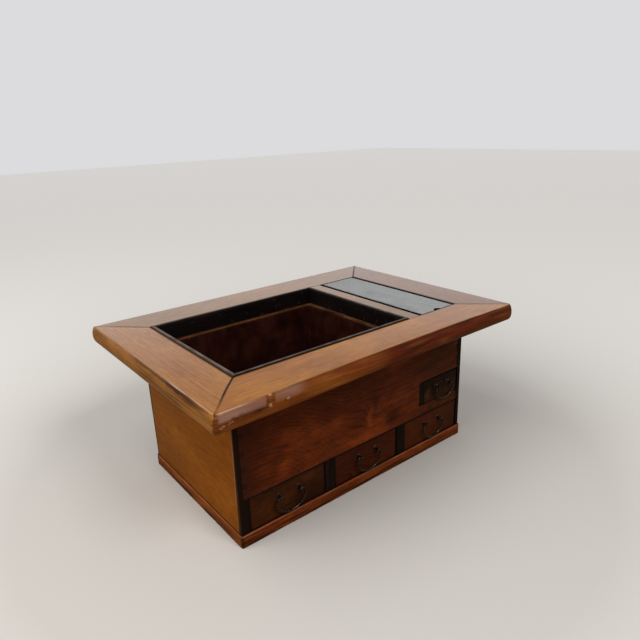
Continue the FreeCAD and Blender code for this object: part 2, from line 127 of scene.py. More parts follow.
level = add(room, "ShaderNodeMapRange", {
    0: upward, 1: ceiling_start, 2: ceiling_end, 3: 1.0, 4: ceiling_level},
    interpolation_type="SMOOTHSTEP").outputs[0]
behind = add(room, "ShaderNodeVectorMath", {0: heading, 1: behind_table}, operation="DOT_PRODUCT")
behind = add(room, "ShaderNodeMapRange", {
    0: behind.outputs["Value"], 1: -0.1, 2: 0.45, 3: behind_camera_level, 4: 1.0},
    interpolation_type="SMOOTHSTEP").outputs[0]
level = add(room, "ShaderNodeMath", {0: level, 1: behind}, operation="MULTIPLY").outputs[0]
level = add(room, "ShaderNodeMix", {0: seen.outputs["Is Camera Ray"], 2: level, 3: wall_seen}).outputs[0]
wall = add(room, "ShaderNodeBackground", {"Color": linear(wall_colour), "Strength": level})
fill = add(room, "ShaderNodeBackground", {"Color": linear(fill_colour), "Strength": fill_level})
either = add(room, "ShaderNodeMixShader", {0: direct, 1: fill.outputs[0], 2: wall.outputs[0]})
add(room, "ShaderNodeOutputWorld", {"Surface": either.outputs[0]})

# The floor is matt paper, flat and without a shine. It is duller in the light that it throws back
# on the table than to the camera. Far from the table, where the lamps don't reach, it runs out into
# the pale wall: its glow makes up for their light, which falls off with distance.
floor_half = 12.0
floor_seen, floor_thrown, glow_colour = "#e2ddd5", "#a08a68", "#eceae8"
glow_far, glow_fall = 0.56, 0.36
floor_mesh = bpy.data.meshes.new("floor")
floor_corners = [(x * floor_half, y * floor_half, 0) for x, y in ((-1, -1), (1, -1), (1, 1), (-1, 1))]
floor_mesh.from_pydata(floor_corners, [], [(0, 1, 2, 3)])
floor = bpy.data.objects.new("floor", floor_mesh)
bpy.context.scene.collection.objects.link(floor)
paper = bpy.data.materials.new("matt pale paper, duller where it lights the table")
paper.use_nodes = True
tree = paper.node_tree
shader = tree.nodes["Principled BSDF"]
by_camera = add(tree, "ShaderNodeLightPath").outputs["Is Camera Ray"]
colour = add(tree, "ShaderNodeMix", {0: by_camera, 6: linear(floor_thrown), 7: linear(floor_seen)},
             data_type="RGBA")
tree.links.new(colour.outputs[2], shader.inputs["Base Color"])
shader.inputs["Roughness"].default_value = 0.9
shader.inputs["Specular IOR Level"].default_value = 0.1
place = add(tree, "ShaderNodeTexCoord").outputs["Object"]
reach = add(tree, "ShaderNodeVectorMath", {0: place}, operation="LENGTH").outputs["Value"]
lamplight = add(tree, "ShaderNodeMath", {0: glow_fall, 1: reach}, operation="DIVIDE").outputs[0]
glow = add(tree, "ShaderNodeMath", {0: glow_far, 1: lamplight}, operation="SUBTRACT",
           use_clamp=True).outputs[0]
glow = add(tree, "ShaderNodeMath", {0: glow, 1: by_camera}, operation="MULTIPLY").outputs[0]
tree.links.new(glow, shader.inputs["Emission Strength"])
shader.inputs["Emission Color"].default_value = linear(glow_colour)
floor_mesh.materials.append(paper)

table_heart = Vector((0, 0, 0.28))
for name, toward, away, size, power in (
    ("window", (-0.62, 0.02, 0.78), 2.6, 2.3, 40.0),
    ("front window", (0.06, -0.71, 0.70), 3.0, 1.0, 25.0),
):
    lamp_data = bpy.data.lights.new(name, "AREA")
    lamp_data.energy = power
    lamp_data.size = size
    lamp = bpy.data.objects.new(name, lamp_data)
    lamp.visible_camera = False
    bpy.context.scene.collection.objects.link(lamp)
    direction = Vector(toward).normalized()
    lamp.matrix_world = aimed(table_heart + direction * away, direction)


# Plinth. Four mitred bars of zelkova under red-brown lacquer, rebated for the floor board, with
# the upper outer edge rounded and rubbed pale where brooms and feet touch it; a highlight is
# painted along it too.
grain_turns = {"X": (0.0, 0.0, 0.0), "Y": (0.0, 0.0, math.pi / 2), "Z": (0.0, -math.pi / 2, 0.0)}

# What shows in the wood, as a length along the grain and a width across it. Real pores are a fifth
# of a millimetre wide; they are drawn at one, so that they show.
log_bend, cloud_size, mottle_size = (380 * mm, 100 * mm), (200 * mm, 90 * mm), (22 * mm, 9 * mm)
fibre_size, pore_size = (70 * mm, 2.6 * mm), (18 * mm, 1.1 * mm)


def drawn_out(tree, place, length, width, detail=2.0, roughness=0.5):
    """Noise whose marks are about a length long along the grain and a width wide across it."""
    stretched = add(tree, "ShaderNodeVectorMath", {0: place, 1: (1 / length, 1 / width, 1 / width)},
                    operation="MULTIPLY").outputs[0]
    return add(tree, "ShaderNodeTexNoise", {"Vector": stretched, "Scale": 1.0, "Detail": detail,
                                            "Roughness": roughness})


def timber(name, along, early, late, glow, rubbed, grime, ring, pith, lean=(0.0, 0.0), wander=10 * mm,
           contrast=0.7, roughness=0.45, specular=0.5, aged="#4a1e0f", bloom="#8a6a60", whorl=None,
           swirls=(), glows=(), mottled=0.14, streaky=0.30, late_start=0.45, pored=1.0):
    """Ring-porous hardwood cut from one log.

    Rings are shells about the pith, a line along the grain that noise bends; each shell darkens
    slowly to its late wood and starts again with a row of open pores. A whorl draws the shells
    round a point of the face, and a swirl pushes them apart about a knot. Fine fibres, mottles
    and broad clouds of colour lie over them, and glows warm or darken a place. The attributes
    aged, bloom, rubbed and grime deepen the finish, cloud it and
    paint a sheen, lay it bare and paint a highlight, and dirty it and paint shade.
    """
    material = bpy.data.materials.new(name)
    material.use_nodes = True
    tree = material.node_tree
    shader = tree.nodes["Principled BSDF"]
    place = add(tree, "ShaderNodeTexCoord").outputs["Object"]
    turn = grain_turns[along]
    turn = (turn[0], turn[1] + lean[0], turn[2] + lean[1])
    board = add(tree, "ShaderNodeMapping", {"Vector": place, "Location": pith, "Rotation": turn},
                vector_type="TEXTURE").outputs[0]
    bend = drawn_out(tree, board, *log_bend, 3.0)
    shift = add(tree, "ShaderNodeVectorMath", {0: bend.outputs["Color"], 1: (0.5, 0.5, 0.5)},
                operation="SUBTRACT")
    shift = add(tree, "ShaderNodeVectorMath", {0: shift.outputs[0], 1: (wander, wander * 2, wander * 2)},
                operation="MULTIPLY")
    log = add(tree, "ShaderNodeVectorMath", {0: board, 1: shift.outputs[0]}, operation="ADD").outputs[0]
    across = add(tree, "ShaderNodeVectorMath", {0: log, 1: (0.0, 1.0, 1.0)}, operation="MULTIPLY").outputs[0]
    if whorl:
        start, end, swing = whorl
        distance = add(tree, "ShaderNodeSeparateXYZ", {0: log}).outputs["X"]
        swung = add(tree, "ShaderNodeMapRange", {0: distance, 1: start, 2: end, 3: 0.0, 4: swing},
                    interpolation_type="SMOOTHSTEP").outputs[0]
        swung = add(tree, "ShaderNodeCombineXYZ", {"X": swung}).outputs[0]
        across = add(tree, "ShaderNodeVectorMath", {0: across, 1: swung}, operation="ADD").outputs[0]
    radius = add(tree, "ShaderNodeVectorMath", {0: across}, operation="LENGTH").outputs["Value"]
    years = add(tree, "ShaderNodeMath", {0: radius, 1: ring}, operation="DIVIDE").outputs[0]
    for *knot, size, push in swirls:
        away = add(tree, "ShaderNodeVectorMath", {0: place, 1: knot}, operation="DISTANCE")
        near = add(tree, "ShaderNodeMapRange", {
            0: away.outputs["Value"], 1: 0.0, 2: size, 3: push, 4: 0.0}, interpolation_type="SMOOTHSTEP")
        years = add(tree, "ShaderNodeMath", {0: years, 1: near.outputs[0]}, operation="ADD").outputs[0]
    # Some years are wide and some narrow: slow noise shifts the count of rings by up to 2.4.
    uneven = add(tree, "ShaderNodeTexNoise", {"W": years, "Scale": 0.23, "Detail": 1.0},
                 noise_dimensions="1D").outputs[0]
    years = add(tree, "ShaderNodeMath", {0: uneven, 1: 2.4, 2: years}, operation="MULTIPLY_ADD").outputs[0]
    phase = add(tree, "ShaderNodeMath", {0: years}, operation="FRACT").outputs[0]
    shades = ((0.0, 0.5), (0.10, 0.12), (late_start, 0.15), (0.90, 0.85), (0.97, 1.0))
    late_wood = add(tree, "ShaderNodeValToRGB", {"Fac": phase}, stops=[
        (share, (shade, shade, shade, 1)) for share, shade in shades]).outputs["Color"]
    pore_row = add(tree, "ShaderNodeMapRange", {0: phase, 1: 0.0, 2: 0.35, 3: 1.0, 4: 0.0}).outputs[0]
    pores = drawn_out(tree, log, *pore_size, 1.0).outputs[0]
    pores = add(tree, "ShaderNodeMapRange", {0: pores, 1: 0.55, 2: 0.68, 3: 0.0, 4: pored}).outputs[0]
    pores = add(tree, "ShaderNodeMath", {0: pores, 1: pore_row}, operation="MULTIPLY").outputs[0]
    fibres = drawn_out(tree, log, *fibre_size, 3.0, 0.65).outputs[0]
    mottle = drawn_out(tree, board, *mottle_size, 2.0).outputs[0]
    clouds = drawn_out(tree, board, *cloud_size, 4.0, 0.6).outputs[0]
    ringed = add(tree, "ShaderNodeMath", {0: late_wood, 1: contrast}, operation="MULTIPLY").outputs[0]
    colour = add(tree, "ShaderNodeMix", {0: ringed, 6: linear(early), 7: linear(late)},
                 data_type="RGBA").outputs[2]
    streak, patch = [
        add(tree, "ShaderNodeMapRange", {0: marks, 1: 0.3, 2: 0.7, 3: 1 - swing, 4: 1 + swing}).outputs[0]
        for marks, swing in ((fibres, streaky), (mottle, mottled))]
    warm = add(tree, "ShaderNodeMapRange", {0: clouds, 1: 0.48, 2: 0.72}).outputs[0]
    for *centre, size, amount in glows:
        away = add(tree, "ShaderNodeVectorMath", {0: place, 1: centre}, operation="DISTANCE")
        near = add(tree, "ShaderNodeMapRange", {
            0: away.outputs["Value"], 1: 0.0, 2: size, 3: amount, 4: 0.0}, interpolation_type="SMOOTHSTEP")
        warm = add(tree, "ShaderNodeMath", {0: near.outputs[0], 1: streak, 2: warm},
                   operation="MULTIPLY_ADD").outputs[0]
    warm_share = add(tree, "ShaderNodeClamp", {0: warm}).outputs[0]
    colour = add(tree, "ShaderNodeMix", {0: warm_share, 6: colour, 7: linear(glow)},
                 data_type="RGBA").outputs[2]
    dull = add(tree, "ShaderNodeMapRange", {0: clouds, 1: 0.46, 2: 0.30, 3: 0.0, 4: 0.45}).outputs[0]
    cool = add(tree, "ShaderNodeMapRange", {0: warm, 1: 0.0, 2: -1.0, 3: 0.0, 4: 0.8}).outputs[0]
    dull = add(tree, "ShaderNodeMath", {0: dull, 1: cool}, operation="MAXIMUM").outputs[0]
    colour = add(tree, "ShaderNodeMix", {0: dull, 6: colour, 7: linear(late)}, data_type="RGBA").outputs[2]
    streak = add(tree, "ShaderNodeMath", {0: streak, 1: patch}, operation="MULTIPLY").outputs[0]
    colour = add(tree, "ShaderNodeVectorMath", {0: colour, "Scale": streak}, operation="SCALE").outputs[0]
    colour = add(tree, "ShaderNodeMix", {0: pores, 6: colour, 7: linear(grime)}, data_type="RGBA").outputs[2]
    # Besides dirt and wear, these marks carry painted light: highlights, sheen and shade.
    for mark, tint in (("aged", aged), ("bloom", bloom), ("rubbed", rubbed), ("grime", grime)):
        amount = add(tree, "ShaderNodeAttribute", attribute_name=mark).outputs["Fac"]
        colour = add(tree, "ShaderNodeMix", {0: amount, 6: colour, 7: linear(tint)},
                     data_type="RGBA").outputs[2]
    tree.links.new(colour, shader.inputs["Base Color"])
    matt = add(tree, "ShaderNodeMapRange", {
        0: clouds, 1: 0.3, 2: 0.7, 3: roughness - 0.06, 4: roughness + 0.06}).outputs[0]
    matt = add(tree, "ShaderNodeMath", {0: pores, 1: 0.25, 2: matt}, operation="MULTIPLY_ADD").outputs[0]
    tree.links.new(matt, shader.inputs["Roughness"])
    relief = add(tree, "ShaderNodeMath", {0: late_wood, 1: 0.4, 2: fibres},
                 operation="MULTIPLY_ADD").outputs[0]
    relief = add(tree, "ShaderNodeMath", {0: pores, 1: -1.0, 2: relief}, operation="MULTIPLY_ADD").outputs[0]
    bump = add(tree, "ShaderNodeBump", {"Height": relief, "Distance": 0.12 * mm, "Strength": 0.8}).outputs[0]
    tree.links.new(bump, shader.inputs["Normal"])
    shader.inputs["Specular IOR Level"].default_value = specular
    return material


def beyond(tree, axis, start, end):
    """How far an object coordinate has gone from a start, 0, to an end, 1."""
    place = add(tree, "ShaderNodeTexCoord").outputs["Object"]
    value = add(tree, "ShaderNodeSeparateXYZ", {0: place}).outputs[axis]
    return add(tree, "ShaderNodeMapRange", {0: value, 1: start, 2: end},
               interpolation_type="SMOOTHSTEP").outputs[0]


def stained(material, tint, share, *places):
    """Lays a stain over a finished surface: its share of the colour where all the places are 1. A
    place is a mask's socket, or an axis with the coordinates where it starts and where it is 1."""
    tree = material.node_tree
    shader = tree.nodes["Principled BSDF"]
    for place in places:
        mask = beyond(tree, *place) if isinstance(place, tuple) else place
        share = add(tree, "ShaderNodeMath", {0: mask, 1: share}, operation="MULTIPLY").outputs[0]
    under = shader.inputs["Base Color"].links[0].from_socket
    over = add(tree, "ShaderNodeMix", {0: share, 6: under, 7: linear(tint)}, data_type="RGBA").outputs[2]
    tree.links.new(over, shader.inputs["Base Color"])


def arc(centre, radius, start, end, count):
    """Points round a circle in a section, angles in degrees from +d towards +z."""
    angle = np.radians(np.linspace(start, end, count))
    return np.stack((centre[0] + radius * np.cos(angle), centre[1] + radius * np.sin(angle)), -1)


def run(a, b, step):
    """Points on a straight line of a section, its last point left out."""
    count = max(1, int(round(math.dist(a, b) / step)))
    return np.linspace(a, b, count + 1)[:-1]


def ripple(points, wavelength, seed):
    """Smooth noise from -1 to 1: sixteen waves of about one length in random directions."""
    dice = np.random.default_rng(seed)
    waves = dice.normal(size=(16, 3))
    size = np.linalg.norm(waves, axis=1)[:, None]
    waves *= (2 * math.pi / wavelength * dice.uniform(0.6, 1.4, (16, 1))) / size
    return np.sin(points @ waves.T + dice.uniform(0, 2 * math.pi, 16)).sum(-1) / 6


def varied(points, wavelength, seed, middle=0.0, swing=1.0, most=1.0):
    """A share that varies over the points: a middle plus a swing times the ripple, from 0 to most."""
    return np.clip(middle + swing * ripple(points, wavelength, seed), 0, most)


def bell(distance, width):
    """1 at no distance, falling off on both sides as a bell: e to minus the square of the distance
    in widths."""
    return np.exp(-(distance / width) ** 2)


def outward(tube):
    """Unit normals of a tube: its step across the section, which runs over the top from the inner
    edge outwards, crossed with its step along the bar."""
    along = np.gradient(tube, axis=0)
    round_it = np.roll(tube, -1, 1) - np.roll(tube, 1, 1)
    normal = np.cross(round_it, along)
    return normal / np.maximum(np.linalg.norm(normal, axis=-1, keepdims=True), 1e-12)


def capped(tube):
    """The tube with its first and last rings drawn in to their middles."""
    first = np.broadcast_to(tube[:1].mean(1, keepdims=True), tube[:1].shape)
    last = np.broadcast_to(tube[-1:].mean(1, keepdims=True), tube[-1:].shape)
    return np.concatenate((first, tube, last))


def capped_marks(**marks):
    """Marks of a tube, with a row of zeros at each end for the rings that cap it."""
    return {name: np.pad(mark, ((1, 1), (0, 0))) for name, mark in marks.items()}


def surface(name, tubes, material, body, nodes, marks=None, sharp=42.0):
    """One piece from tubes, grids closed across their columns. marks holds vertex attributes."""
    points, quads, count = [], [], 0
    for tube in tubes:
        rows, columns = tube.shape[:2]
        index = count + np.arange(rows * columns).reshape(rows, columns)
        here, there = index[:-1], index[1:]
        quads.append(np.stack((here, np.roll(here, -1, 1), np.roll(there, -1, 1), there), -1).reshape(-1, 4))
        points.append(tube.reshape(-1, 3))
        count += rows * columns
    mesh = bpy.data.meshes.new(name)
    mesh.from_pydata(np.concatenate(points).tolist(), [], np.concatenate(quads).tolist())
    for mark, values in (marks or {}).items():
        attribute = mesh.attributes.new(mark, "FLOAT", "POINT")
        attribute.data.foreach_set("value", values.astype(np.float32).ravel())
    shape = bmesh.new()
    shape.from_mesh(mesh)
    bmesh.ops.remove_doubles(shape, verts=shape.verts, dist=1e-7)
    bmesh.ops.recalc_face_normals(shape, faces=shape.faces)
    shape.to_mesh(mesh)
    shape.free()
    mesh.shade_smooth()
    mesh.set_sharp_from_angle(angle=math.radians(sharp))
    mesh.materials.append(material)
    piece = bpy.data.objects.new(name, mesh)
    bpy.context.scene.collection.objects.link(piece)
    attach(piece, body)
    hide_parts(*nodes)
    return piece


def mitred_bar(section, half_length, half_depth, slope, corners, step, gap=0.0, gape=0.0):
    """The front bar of a frame: a section (d, z) carried along X, d being the way in from the front.

    Each line of the bar stops at the mitre, x = d * slope, less a gap that widens by gape to the
    inner end. A line nearer to the front than a corner's radius leaves its straight there and
    follows a quarter ellipse about the corner's centre, as far as the mitre. The two corners may
    differ: each half of the bar is taken from the bar that has its corner at both ends.
    """
    if corners[0] != corners[1]:
        left, right = [mitred_bar(section, half_length, half_depth, slope, (corner, corner), step, gap, gape)
                       for corner in corners]
        return np.where(left[..., :1] < 0, left, right)
    corner = corners[0]
    depth = section[:, 0]
    end = depth * slope + gap + gape * (depth / depth.max()) ** 2
    bend_rows = 10 if corner > 0 else 1
    straight_end = np.maximum(end, corner * slope)
    count = int(2 * half_length / step)
    straight = straight_end + np.linspace(0, 1, count + 1)[:, None] * 2 * (half_length - straight_end)
    lead = end + np.linspace(0, 1, bend_rows, endpoint=False)[:, None] * (straight_end - end)
    x = np.concatenate((lead, straight, 2 * half_length - lead[::-1]))
    from_end = np.minimum(x, 2 * half_length - x)
    radius = np.clip(corner - depth, 0, None)
    turn = np.clip((corner * slope - from_end) / np.maximum(corner * slope - depth * slope, 1e-9), 0, 1)
    turn = np.where(radius > 0, turn, 0) * math.pi / 4
    bent_x = corner * slope - radius * slope * np.sin(turn)
    bent_y = corner - radius * np.cos(turn)
    bends = turn > 0
    from_end = np.where(bends, bent_x + gap, from_end)
    x = np.where(x < half_length, from_end, 2 * half_length - from_end)
    y = np.where(bends, bent_y, depth)
    z = np.broadcast_to(section[:, 1], x.shape)
    return np.stack((x - half_length, y - half_depth, z), -1)


def quarter_turns(points, turns):
    """Points turned about Z by quarter turns, anticlockwise seen from above."""
    for _ in range(turns):
        points = np.stack((-points[..., 1], points[..., 0], points[..., 2]), -1)
    return points


def frame_sides(half_length, half_depth):
    """The four bars of a frame: quarter turns, side, grain, and the bar's own half length and half
    depth, which change places at the ends."""
    long_side, end_side = ("X", half_length, half_depth), ("Y", half_depth, half_length)
    return ((0, "front", *long_side), (1, "right", *end_side),
            (2, "back", *long_side), (3, "left", *end_side))


plinth_low, plinth_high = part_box("plinth_front")
plinth_inner, plinth_top = plinth_high.y, plinth_high.z
plinth_half_length, plinth_half_depth = -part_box("plinth_left")[0].x, -plinth_low.y
plinth_width = plinth_inner - plinth_low.y
plinth_corner, plinth_edge, plinth_foot = 4.0 * mm, 2.6 * mm, 0.6 * mm
plinth_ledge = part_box("floor_board")[0].z
plinth_rebate = plinth_half_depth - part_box("floor_board")[1].y
plinth_wear = 0.3 * mm
pale_line_below, pale_line_inside, pale_line_width = 1.7 * mm, 0.5 * mm, 0.75 * mm
plinth_section = np.concatenate((
    run((plinth_rebate, plinth_top), (plinth_edge, plinth_top), 2.0 * mm),
    arc((plinth_edge, plinth_top - plinth_edge), plinth_edge, 90, 180, 9),
    run((0, plinth_top - plinth_edge), (0, plinth_foot), 1.6 * mm)[1:],
    run((0, plinth_foot), (plinth_foot, 0), 1.0 * mm),
    run((plinth_foot, 0), (plinth_width, 0), 4.0 * mm),
    run((plinth_width, 0), (plinth_width, plinth_ledge), 4.0 * mm),
    run((plinth_width, plinth_ledge), (plinth_rebate, plinth_ledge), 4.0 * mm),
    run((plinth_rebate, plinth_ledge), (plinth_rebate, plinth_top), 4.0 * mm),
))
# Thin lacquer, rubbed satin: the rings show through it red-brown, and the wood is pale where it
# has gone from the edge, where a highlight is painted as well.
plinth_woods = {
    along: timber(
        "red-brown lacquered zelkova plinth, grain along " + along, along,
        early=early, late=late, glow=glow, rubbed="#b08468", grime="#1c0d08", aged="#2c1006",
        ring=5.5 * mm, pith=pith, lean=(0.01, 0.015), wander=6 * mm, contrast=0.6, roughness=0.42,
        specular=0.12)
    for along, early, late, glow, pith in (
        ("X", "#823c16", "#4a1b08", "#984a1c", (0.0, -0.10, -0.06)),
        ("Y", "#a0541c", "#6a2c0c", "#aa5e22", (-0.25, 0.0, -0.07)))
}
for turns, side, along, half_length, half_depth in frame_sides(plinth_half_length, plinth_half_depth):
    bar = mitred_bar(plinth_section, half_length, half_depth, 1.0, (plinth_corner, plinth_corner), 4.0 * mm,
                     0.03 * mm)
    inward = bar[..., 1] + half_depth
    outer = np.clip(1 - inward / plinth_edge, 0, 1) ** 0.5
    worn_down = varied(bar, 70 * mm, 11 + turns) * plinth_wear * outer
    # The pale line on the rounded edge: partly bare wood, partly a painted highlight.
    rubbed = bell(np.hypot(bar[..., 2] - plinth_top + pale_line_below, inward - pale_line_inside), pale_line_width)
    rubbed = np.clip(rubbed * (0.62 + 0.40 * ripple(bar, 60 * mm, 31 + turns)), 0, 1)
    # Darker along the foot, painted shade in the angle with the boards, dirt at the mitres where nothing
    # rubs.
    dirt_and_shade = np.clip(0.9 - bar[..., 2] / (3 * mm), 0, 0.8) * outer
    angle_shade = np.clip((inward - 1.2 * mm) / (1.0 * mm), 0, 0.9) * (bar[..., 2] > plinth_top - 1 * mm)
    to_corner = half_length - np.abs(bar[..., 0])
    at_mitre = np.clip(1.3 - to_corner / (5 * mm), 0, 0.7) * (rubbed < 0.3)
    dirt_and_shade = np.maximum(np.maximum(dirt_and_shade, angle_shade), at_mitre)
    aged = varied(bar * (1, 1, 9), 90 * mm, 35 + turns, 0.45, 1.0, 0.8)
    aged *= np.clip((16 * mm - bar[..., 2]) / (6 * mm), 0, 1)
    bar = capped(bar - outward(bar) * worn_down[..., None])
    surface("plinth_bar_" + side, [quarter_turns(bar, turns)], plinth_woods[along],
            "carcass", ["plinth_" + side], capped_marks(rubbed=rubbed, grime=dirt_and_shade, aged=aged))


# Floor, front, back and end boards. Figured zelkova on the front and plainer boards elsewhere,
# finger-jointed at the corners; the end boards' edges that show on the front are stained black.


def eased(node_name, material, body, ease, edge=None):
    """A copy of a plain piece with its triangles merged to flats and every edge eased by a bevel,
    which may have a finish of its own."""
    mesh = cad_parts[node_name].data.copy()
    mesh.name = node_name + "_eased"
    shape = bmesh.new()
    shape.from_mesh(mesh)
    bmesh.ops.remove_doubles(shape, verts=shape.verts, dist=1e-6)
    bmesh.ops.dissolve_limit(shape, angle_limit=math.radians(0.5), verts=shape.verts, edges=shape.edges)
    shape.to_mesh(mesh)
    shape.free()
    mesh.materials.clear()
    mesh.materials.append(material)
    if edge:
        mesh.materials.append(edge)
    mesh.shade_smooth()
    piece = bpy.data.objects.new(node_name + "_eased", mesh)
    bpy.context.scene.collection.objects.link(piece)
    bevel = piece.modifiers.new("eased", "BEVEL")
    bevel.width = ease
    bevel.segments = 2
    bevel.material = 1 if edge else 0
    bevel.limit_method = "ANGLE"
    bevel.angle_limit = math.radians(40)
    bevel.harden_normals = True
    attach(piece, body)
    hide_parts(node_name)
    return piece


board_ease = 0.35 * mm
front_face, back_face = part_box("front_board")[0].y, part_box("back_board")[1].y
front_left, front_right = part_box("front_board")[0].x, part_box("front_board")[1].x
joint_depth = 19 * mm
# Figured heartwood under a dark lacquer, satin from rubbing: rings stand in arches round a bright
# knot, and the warm places glow through. Glows are x, z, size and amount.
front_glows = (
    (-0.178, 0.150, 0.040, 0.35), (-0.202, 0.129, 0.030, 0.3), (-0.150, 0.128, 0.030, 0.35),
    (-0.253, 0.140, 0.030, 0.25), (-0.066, 0.160, 0.045, 0.3), (0.105, 0.168, 0.035, 0.25),
    (0.013, 0.135, 0.013, 0.6), (0.011, 0.149, 0.013, 0.7), (0.017, 0.163, 0.013, 0.5),
    (0.185, 0.109, 0.015, 0.8), (0.215, 0.109, 0.015, 0.8), (0.245, 0.109, 0.015, 0.6),
    (0.080, 0.126, 0.030, -0.8), (-0.280, 0.229, 0.030, -0.7), (-0.100, 0.200, 0.045, -0.4))
front_wood = timber(
    "figured zelkova under red-brown lacquer", "X",
    early="#602610", late="#280e07", glow="#8c3f18", rubbed="#8a5536", grime="#1c0b06",
    ring=6.5 * mm, pith=(-0.290, -0.165, 0.085), lean=(0.0, 0.02), wander=22 * mm, contrast=0.62,
    roughness=0.36, specular=0.12, mottled=0.16, streaky=0.22, late_start=0.74, whorl=(0.0, 0.270, 0.125),
    swirls=((0.030, front_face, 0.150, 0.050, 2.6), (-0.06, front_face, 0.25, 0.08, 1.2)),
    glows=[(x, front_face, z, size, amount) for x, z, size, amount in front_glows])
# Stains over it: purple-brown on the left column of fingers, dark on the rail under the upper
# drawer, a shade darker over the right part and black at the right edge; and painted shade over
# the left end, and under the rim where its overhang shades the board.
finger_ends = front_left + joint_depth
for tint, share, *limits in (
    ("#4e241a", 0.75, ("X", finger_ends + 5 * mm, finger_ends - 6 * mm)),
    ("#200f0a", 0.55, ("X", 0.160, 0.180), ("Z", 0.124, 0.116)),
    ("#200c07", 0.35, ("X", 0.100, 0.300)),
    ("#0e0605", 0.96, ("X", front_right - 6 * mm, front_right - 4 * mm)),
    # Painted shade: over the left end, and under the rim.
    ("#2a0f08", 0.35, ("X", -0.220, -0.285)),
    ("#2c120a", 0.45, ("Z", 0.262, 0.292)),
):
    stained(front_wood, tint, share, *limits)
# Plain boards under a golden brown lacquer: an even satin, with the rings hardly showing.
case_woods = {
    name: timber(
        "golden brown lacquered zelkova, " + name, along,
        early="#a05b18", late="#763d0e", glow="#ae6922", rubbed="#8f7748", grime="#55300f",
        ring=9.0 * mm, pith=pith, lean=(0.03, 0.06), wander=24 * mm, contrast=0.35, roughness=0.40,
        specular=0.10, mottled=0.12, streaky=0.12, pored=0.4)
    for name, along, pith in (
        ("left end", "Y", (-0.330, 0.05, 0.13)), ("right end", "Y", (0.340, 0.0, 0.22)),
        ("back", "X", (0.1, 0.25, 0.12)), ("floor", "X", (0.0, 0.0, -0.08)))
}
# The end boards' ends, seen between the fingers of the front and the back, hold the stain:
# red-brown above, black beside the drawers. Behind the front board's face the joints are black.
row_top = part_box("dust_board")[0].z
case_left, case_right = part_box("end_board_left")[0].x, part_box("end_board_right")[1].x
front_ends = ("Y", front_face + 1.2 * mm, front_face + 0.3 * mm)
back_ends = ("Y", back_face - 1.2 * mm, back_face - 0.3 * mm)
for side, end_tint in (("left end", "#34190f"), ("right end", "#482014")):
    for ends in (front_ends, back_ends):
        stained(case_woods[side], end_tint, 1.0, ends)
        stained(case_woods[side], "#150d0a", 0.9, ends, ("Z", row_top + 3 * mm, row_top - 2 * mm))
    stained(case_woods[side], "#100907", 1.0,
            ("Y", front_face + 0.4 * mm, front_face + 1.0 * mm),
            ("Y", front_face + 30 * mm, front_face + 28 * mm),
            ("X", case_left + 0.3 * mm, case_left + 0.8 * mm),
            ("X", case_right - 0.3 * mm, case_right - 0.8 * mm))
stained(case_woods["right end"], "#0e0605", 1.0, front_ends,
        ("X", front_right - 6 * mm, front_right - 4 * mm))
# The stain has crept round the left corner on to the panel, further in at the foot than at the top,
# with a pale line along its edge, partly worn wood and partly a painted highlight of a rounded
# arris, strongest at half height. The back edge is dark too.
creep_foot, creep_top, creep_softness = (0.026, 9 * mm), (0.290, 2 * mm), 0.8 * mm
worn_and_highlit_line, worn_and_highlit_half_width = 1.6 * mm, 1.7 * mm
panel_wood = case_woods["left end"]
tree = panel_wood.node_tree
place = add(tree, "ShaderNodeTexCoord").outputs["Object"]
place = add(tree, "ShaderNodeSeparateXYZ", {0: place})
creep = add(tree, "ShaderNodeMapRange", {
    0: place.outputs["Z"], 1: creep_foot[0], 2: creep_top[0], 3: creep_foot[1], 4: creep_top[1]}).outputs[0]
past = add(tree, "ShaderNodeMath", {0: place.outputs["Y"], 1: front_face}, operation="SUBTRACT").outputs[0]
past = add(tree, "ShaderNodeMath", {0: past, 1: creep}, operation="SUBTRACT").outputs[0]
crept = add(tree, "ShaderNodeMapRange", {0: past, 1: creep_softness, 2: -creep_softness},
            interpolation_type="SMOOTHSTEP").outputs[0]
worn = add(tree, "ShaderNodeMath", {0: past, 1: worn_and_highlit_line, 2: worn_and_highlit_half_width},
           operation="COMPARE").outputs[0]
outer_side = ("X", front_left + 0.8 * mm, front_left + 0.4 * mm)
stained(panel_wood, "#1e0f0a", 0.85, crept, outer_side)
stained(panel_wood, "#22120c", 0.80, outer_side, ("Y", back_face - 7 * mm, back_face - 5 * mm))
# The pale line: partly worn wood, partly a painted highlight.
stained(panel_wood, "#9a8478", 0.12, worn, outer_side)
stained(panel_wood, "#a08a7c", 0.35, worn, outer_side, ("Z", 0.235, 0.185), ("Z", 0.080, 0.130))
eased("front_board", front_wood, "carcass", board_ease)
eased("back_board", case_woods["back"], "carcass", board_ease)
eased("end_board_left", case_woods["left end"], "carcass", board_ease)
eased("end_board_right", case_woods["right end"], "carcass", board_ease)


